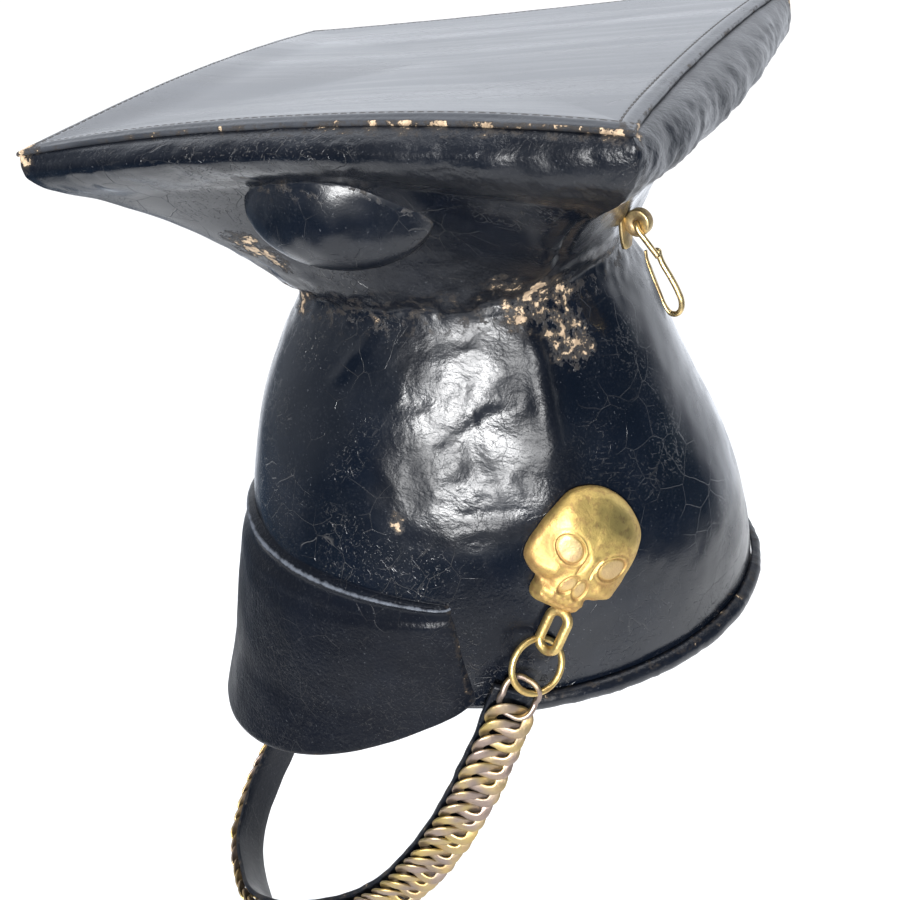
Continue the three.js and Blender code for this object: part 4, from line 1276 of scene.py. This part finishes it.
def make_boss(name, side):
    turn = turns(BOSS_AROUND)
    reach = column(BOSS_OUTLINE, 1, np.abs(half_turn(np.degrees(turn))))
    share = np.sin(np.linspace(0.004, 1, BOSS_RINGS) * TAU / 4)[:, None]
    across = np.sin(turn)[None, :] * reach * share
    up = np.cos(turn)[None, :] * reach * share
    carved, hollow, pale = skull_relief(across, up)
    dome = BOSS_EDGE + BOSS_RISE * np.sqrt(1 - share**BOSS_DOME)
    cast = waves(np.stack([across, up, np.zeros_like(up)], -1), BOSS_WAVES)
    front = boss_points(side, across, up, dome + (carved + cast) * fall(share, 0.9, 0.995))
    back = np.stack([
        boss_points(side, across[-1] * k, up[-1] * k, np.full(BOSS_AROUND, out)) for k, out in BOSS_BACK
    ])
    points, faces = capped(np.concatenate([front, back]))
    dark = np.maximum(hollow, 0.35 * smoothstep(share, 0.93, 1.0))
    rest = len(points) - dark.size
    add_piece(
        name, points, faces, SKULL_BRASS, [name.replace("_relief", "")], "brass",
        hollow=np.append(dark, np.full(rest, 0.6)), tint=0.6 * np.append(pale, np.zeros(rest)),
    )


# Loops and rings under the bosses
def hang_reach():
    place = np.array((0, *BOSS_PLACE)) + HANG_DOWN * LOOP_MIDDLE
    room = LOOP["half"] * math.sin(LOOP["turn"]) + LOOP["wire"] + 2 * GAP
    return float(side_reach(1, place[1], place[2])) + room


def add_hanging(name, node, side, down, across, out, axis, wire):
    """A closed wire under a boss, from its places down, across and out."""
    route = np.array((0, *BOSS_PLACE)) + np.outer(down, HANG_DOWN) + np.outer(across, HANG_ACROSS)
    route[:, 0] += out
    mirror = np.array((side, 1, 1))
    points, faces = looped(tube_rings(route * mirror, axis * mirror, *wire, HANG_AROUND, True))
    stain = stains(points, *FITTING_STAINS)
    add_piece(name, points, faces, FITTING_BRASS, [node], "brass", hollow=stain)


def make_hangings(name, side):
    angle = turns(HANG_STEPS)
    reach = hang_reach()
    turn_sin = math.sin(LOOP["turn"])
    turn_cos = math.cos(LOOP["turn"])
    straight = (LOOP["bottom"] - LOOP["top"]) / 2 - LOOP["half"]
    middle = (LOOP["bottom"] + LOOP["top"]) / 2
    down = middle + np.cos(angle) * LOOP["half"] + np.sign(np.cos(angle)) * straight
    across = np.sin(angle) * LOOP["half"]
    plane = np.array((turn_cos, 0, 0)) - HANG_ACROSS * turn_sin
    add_hanging(
        "loop_" + name, "boss_loop_" + name, side,
        down, across * turn_cos, reach + across * turn_sin, plane, LOOP_WIRE,
    )
    drop = np.cos(angle) * RING["radius"]
    down = RING["middle"] + drop * math.cos(RING_LEAN)
    out = reach + drop * math.sin(RING_LEAN)
    across = np.sin(angle) * RING["radius"]
    flat = np.array((1.0, 0, 0))
    add_hanging("ring_" + name, "chin_ring_" + name, side, down, across, out, flat, RING_WIRE)


# Chin strap and chain
class Strap:
    """The strap's middle line, with its directions at any length along it."""

    def __init__(self):
        mirrored = (STRAP_ROUTE[:-1] * (-1, 1, 1))[::-1]
        self.line = smooth_route(np.vstack([STRAP_ROUTE, mirrored]), STRAP_FINE)
        self.lengths = run_lengths(self.line)
        self.length = self.lengths[-1]

    def point(self, at):
        return on_line(np.clip(at, 0, self.length), self.lengths, self.line)

    def frame(self, at):
        along = unit(self.point(np.minimum(at + 1, self.length)) - self.point(np.maximum(at - 1, 0)))
        point = self.point(at)
        out = point - STRAP_HUB
        out = unit(out - along * np.sum(out * along, -1, keepdims=True))
        return point, along, out, np.cross(out, along)


STRAP = Strap()


def make_strap():
    point, _, out, across = STRAP.frame(np.linspace(0, STRAP.length, STRAP_STEPS))
    out = out[:, None]
    across = across[:, None]
    wide = STRAP_PROFILE[None, :, 0, None] * across * STRAP_WIDE
    thick = STRAP_PROFILE[None, :, 1, None] * out * STRAP_THICK
    rings = point[:, None] + wide + thick
    edge = (np.abs(STRAP_PROFILE[:, 0]) > 0.45)[None, :, None]
    ripple = waves(rings, STRAP_RIPPLE)[..., None] * across * edge
    sag = waves(rings, STRAP_SAG)[..., None] * out
    points, faces = capped(rings + ripple - np.abs(sag))
    sides = np.append(np.tile(np.abs(STRAP_PROFILE[:, 0]), STRAP_STEPS), (0.5, 0.5))
    add_piece(
        "strap_leather", points, faces, TRIM_LEATHER, ["chin_strap"],
        wear=0.03 + 0.15 * smoothstep(sides, 0.46, 0.5),
        dull=np.full(len(points), 0.5), crumple=np.full(len(points), 0.25),
    )


def link_rings(place, size, ring_side, skew, lift, wire):
    """One woven link of the chain as rings of its wire, a little turned, lifted and worn."""
    point, along, out, across = place
    along, across = along + skew * across, across - skew * along
    angle = turns(LINK_STEPS)
    c = np.cos(angle)
    s = np.sin(angle)
    weave = np.where(c * ring_side > 0, ring_side * RING_WEAVE, size["weave"])
    height = CHAIN_LIFT + lift + 2 * weave * s * c - 0.15 * c * (1 + s)
    reach = size["long"] / 2 - size["wire_wide"]
    half = size["wide"] / 2 - size["wire_wide"]
    fuller = 1 + 0.08 * np.abs(np.sin(2 * angle))
    route = point + np.outer(c * reach * fuller, along) + np.outer(s * half * fuller, across)
    route = route + np.outer(height, out)
    flat = size["wire_wide"] * wire * (0.85 + 0.15 * np.abs(s))
    inward = unit(np.outer(c, along) + np.outer(s, across))
    return tube_rings(route, inward, flat, size["wire_thick"], WIRE_AROUND, True, LINK_SQUARE)


def make_chain():
    rng = np.random.default_rng(SEED)
    room = STRAP.length - 2 * FIRST_LINK
    count = round(room / LINK_PITCH)
    links = [(0.0, END_LINK, -1)]
    links += [(FIRST_LINK + room * i / count, LINK, 0) for i in range(count + 1)]
    links.append((STRAP.length, END_LINK, 1))
    face = np.tile(np.abs(np.sin(turns(WIRE_AROUND))) ** 0.7, LINK_STEPS)
    parts = []
    hollow = []
    tint = []
    for at, size, ring_side in links:
        skew, lift, wire = (0, 0, 1) if ring_side else rng.uniform(*LINK_RANGE)
        grey = END_GREY if ring_side else rng.uniform(*LINK_GREY)
        place = STRAP.frame(at)
        part = looped(link_rings(place, size, ring_side, skew, lift, wire))
        level = (part[0] - place[0]) @ place[2]
        parts.append(part)
        hollow.append(0.75 * fall(level, 0.6, 3.4))
        tint.append(np.clip(grey * (0.25 + 0.85 * face) + 0.6 * noise(part[0], 4.0, 2.0), 0, 1))
    add_piece(
        "chain_links", *joined(parts), CHAIN_BRASS, ["chin_chain"], "chain",
        hollow=np.concatenate(hollow), tint=np.concatenate(tint),
    )


# Hook plate and wire clip
EYE_OUT = np.array((math.cos(EYE["bearing"]), math.sin(EYE["bearing"]), 0))
EYE_SIDE = np.array((-EYE_OUT[1], EYE_OUT[0], 0))


def neck_place(z):
    _, length, width, power = (float(value) for value in section(z))
    reach = ((EYE_OUT[0] / width) ** power + (EYE_OUT[1] / length) ** power) ** (-1 / power)
    return np.array((0, BOARD_CENTRE, z)) + EYE_OUT * reach


NECK_CLIMB = unit(neck_place(EYE["z"] + EYE["outer"]) - neck_place(EYE["z"] - EYE["outer"]))
EYE_MIDDLE = neck_place(EYE["z"]) + np.cross(EYE_SIDE, NECK_CLIMB) * EYE["off"]


def make_hook_plate():
    turn = turns(EYE_STEPS)[:, None]
    spoke = np.cos(turn) * EYE_OUT + np.sin(turn) * UP
    half = np.array(EYE_PROFILE)
    corners = np.concatenate([half * (1, -1), half[::-1]])[None, :, :, None]
    barrel = EYE_MIDDLE + corners[:, :, 0] * spoke[:, None] + corners[:, :, 1] * EYE_SIDE
    start = EYE_MIDDLE - EYE_OUT * (EYE["outer"] + 0.2)
    across, out = TONGUE_SECTION.T[..., None]
    rows = [start + UP * along + across * wide * EYE_SIDE + out * EYE_OUT for along, wide in TONGUE_OUTLINE]
    points, faces = joined([looped(barrel), capped(np.stack(rows))])
    stain = TONGUE_DARK + stains(points, *TONGUE_STAINS)
    add_piece("hook_tongue", points, faces, HOOK_BRASS, ["hook_plate"], "brass", hollow=stain)


def make_hook():
    down = EYE_OUT * math.sin(HOOK_LEAN) - UP * math.cos(HOOK_LEAN)
    away = EYE_OUT * math.cos(HOOK_LEAN) + UP * math.sin(HOOK_LEAN)
    axes = np.stack([down, away, EYE_SIDE])
    routes = (EYE_MIDDLE + np.array(rows) @ axes for rows in (HOOK_STUB, HOOK_ARM))
    stub, arm = (smooth_route(route, HOOK_FINE) for route in routes)
    thin = smoothstep(np.arange(len(arm)) / len(arm), *ARM_THIN)
    points, faces = joined([
        capped(tube_rings(stub, UP + EYE_OUT, HOOK_WIRE, HOOK_WIRE, WIRE_AROUND, False)),
        capped(tube_rings(arm, EYE_SIDE, ARM_WIRE - 0.3 * thin, HOOK_WIRE - 0.5 * thin, WIRE_AROUND, False)),
    ])
    stain = stains(points, *HOOK_STAINS)
    add_piece("hook_wire", points, faces, HOOK_BRASS, ["snap_hook"], "brass", "hook", hollow=stain)


make_shell()
make_plate()
make_visor()
make_welt()
make_pocket()
for side_name, side_sign in (("left", 1), ("right", -1)):
    make_boss("skull_boss_" + side_name + "_relief", side_sign)
    make_hangings(side_name, side_sign)
make_strap()
make_chain()
make_hook_plate()
make_hook()


# Floor, light and camera
def make_floor():
    rim = [(FLOOR_RADIUS * math.cos(t), FLOOR_RADIUS * math.sin(t), FLOOR_Z) for t in turns(FLOOR_AROUND)]
    mesh = bpy.data.meshes.new("floor")
    mesh.from_pydata(rim, [], [tuple(range(len(rim)))])
    s = Shader("floor_paper")
    tone = s.mix(s.noise(3.0, 2.0), *FLOOR_TONES)
    mesh.materials.append(s.finish(Base_Color=tone, Roughness=0.9))
    floor = add_object("floor", mesh)


def make_world():
    """A dim room in front and a broad bright wall behind the cap."""
    world = bpy.data.worlds.new("studio")
    bpy.context.scene.world = world
    n = Nodes(world)
    coords = n.add("ShaderNodeTexCoord").outputs["Generated"]
    glows = []
    for way, low, high, strength in GLOWS:
        facing = n.result("ShaderNodeVectorMath", (coords, way), "Value", operation="DOT_PRODUCT")
        glows.append(n.remap(facing, low, high, 0.0, strength))
    window, room, backdrop = (
        n.add("ShaderNodeBackground", Color=tone, Strength=strength).outputs[0]
        for tone, strength in (
            (GLOW_TONE, n.plus(*glows)), (ROOM_TONE, ROOM_GLOW), (BACKDROP_TONE, BACKDROP_GLOW),
        )
    )
    both = n.result("ShaderNodeAddShader", (window, room))
    seen = n.add("ShaderNodeLightPath").outputs["Is Camera Ray"]
    shown = n.result("ShaderNodeMixShader", (seen, both, backdrop))
    n.add("ShaderNodeOutputWorld", Surface=shown)


def make_light(name, place, target, size, power):
    light = bpy.data.lights.new(name, "AREA")
    light.shape = "DISK"
    light.size = size
    light.energy = power
    lamp = add_object(name, light)
    away = unit(np.array(place) - np.array(target))
    side = unit(np.cross(UP, away) + (1e-6, 0, 0))
    place_object(lamp, (side, np.cross(away, side), away), place)
    lamp.visible_camera = False


def make_camera():
    data = bpy.data.cameras.new("camera")
    data.sensor_width = CAMERA_SENSOR
    data.lens = CAMERA_LENS
    data.clip_start, data.clip_end = CAMERA_CLIP
    camera = add_object("camera", data)
    place_object(camera, unit(np.array(CAMERA_AXES)), np.array(CAMERA_PLACE) * MM)
    bpy.context.scene.camera = camera


make_floor()
make_world()
for light_row in LIGHTS:
    make_light(*light_row)
make_camera()
bpy.context.scene.view_settings.view_transform = "Standard"
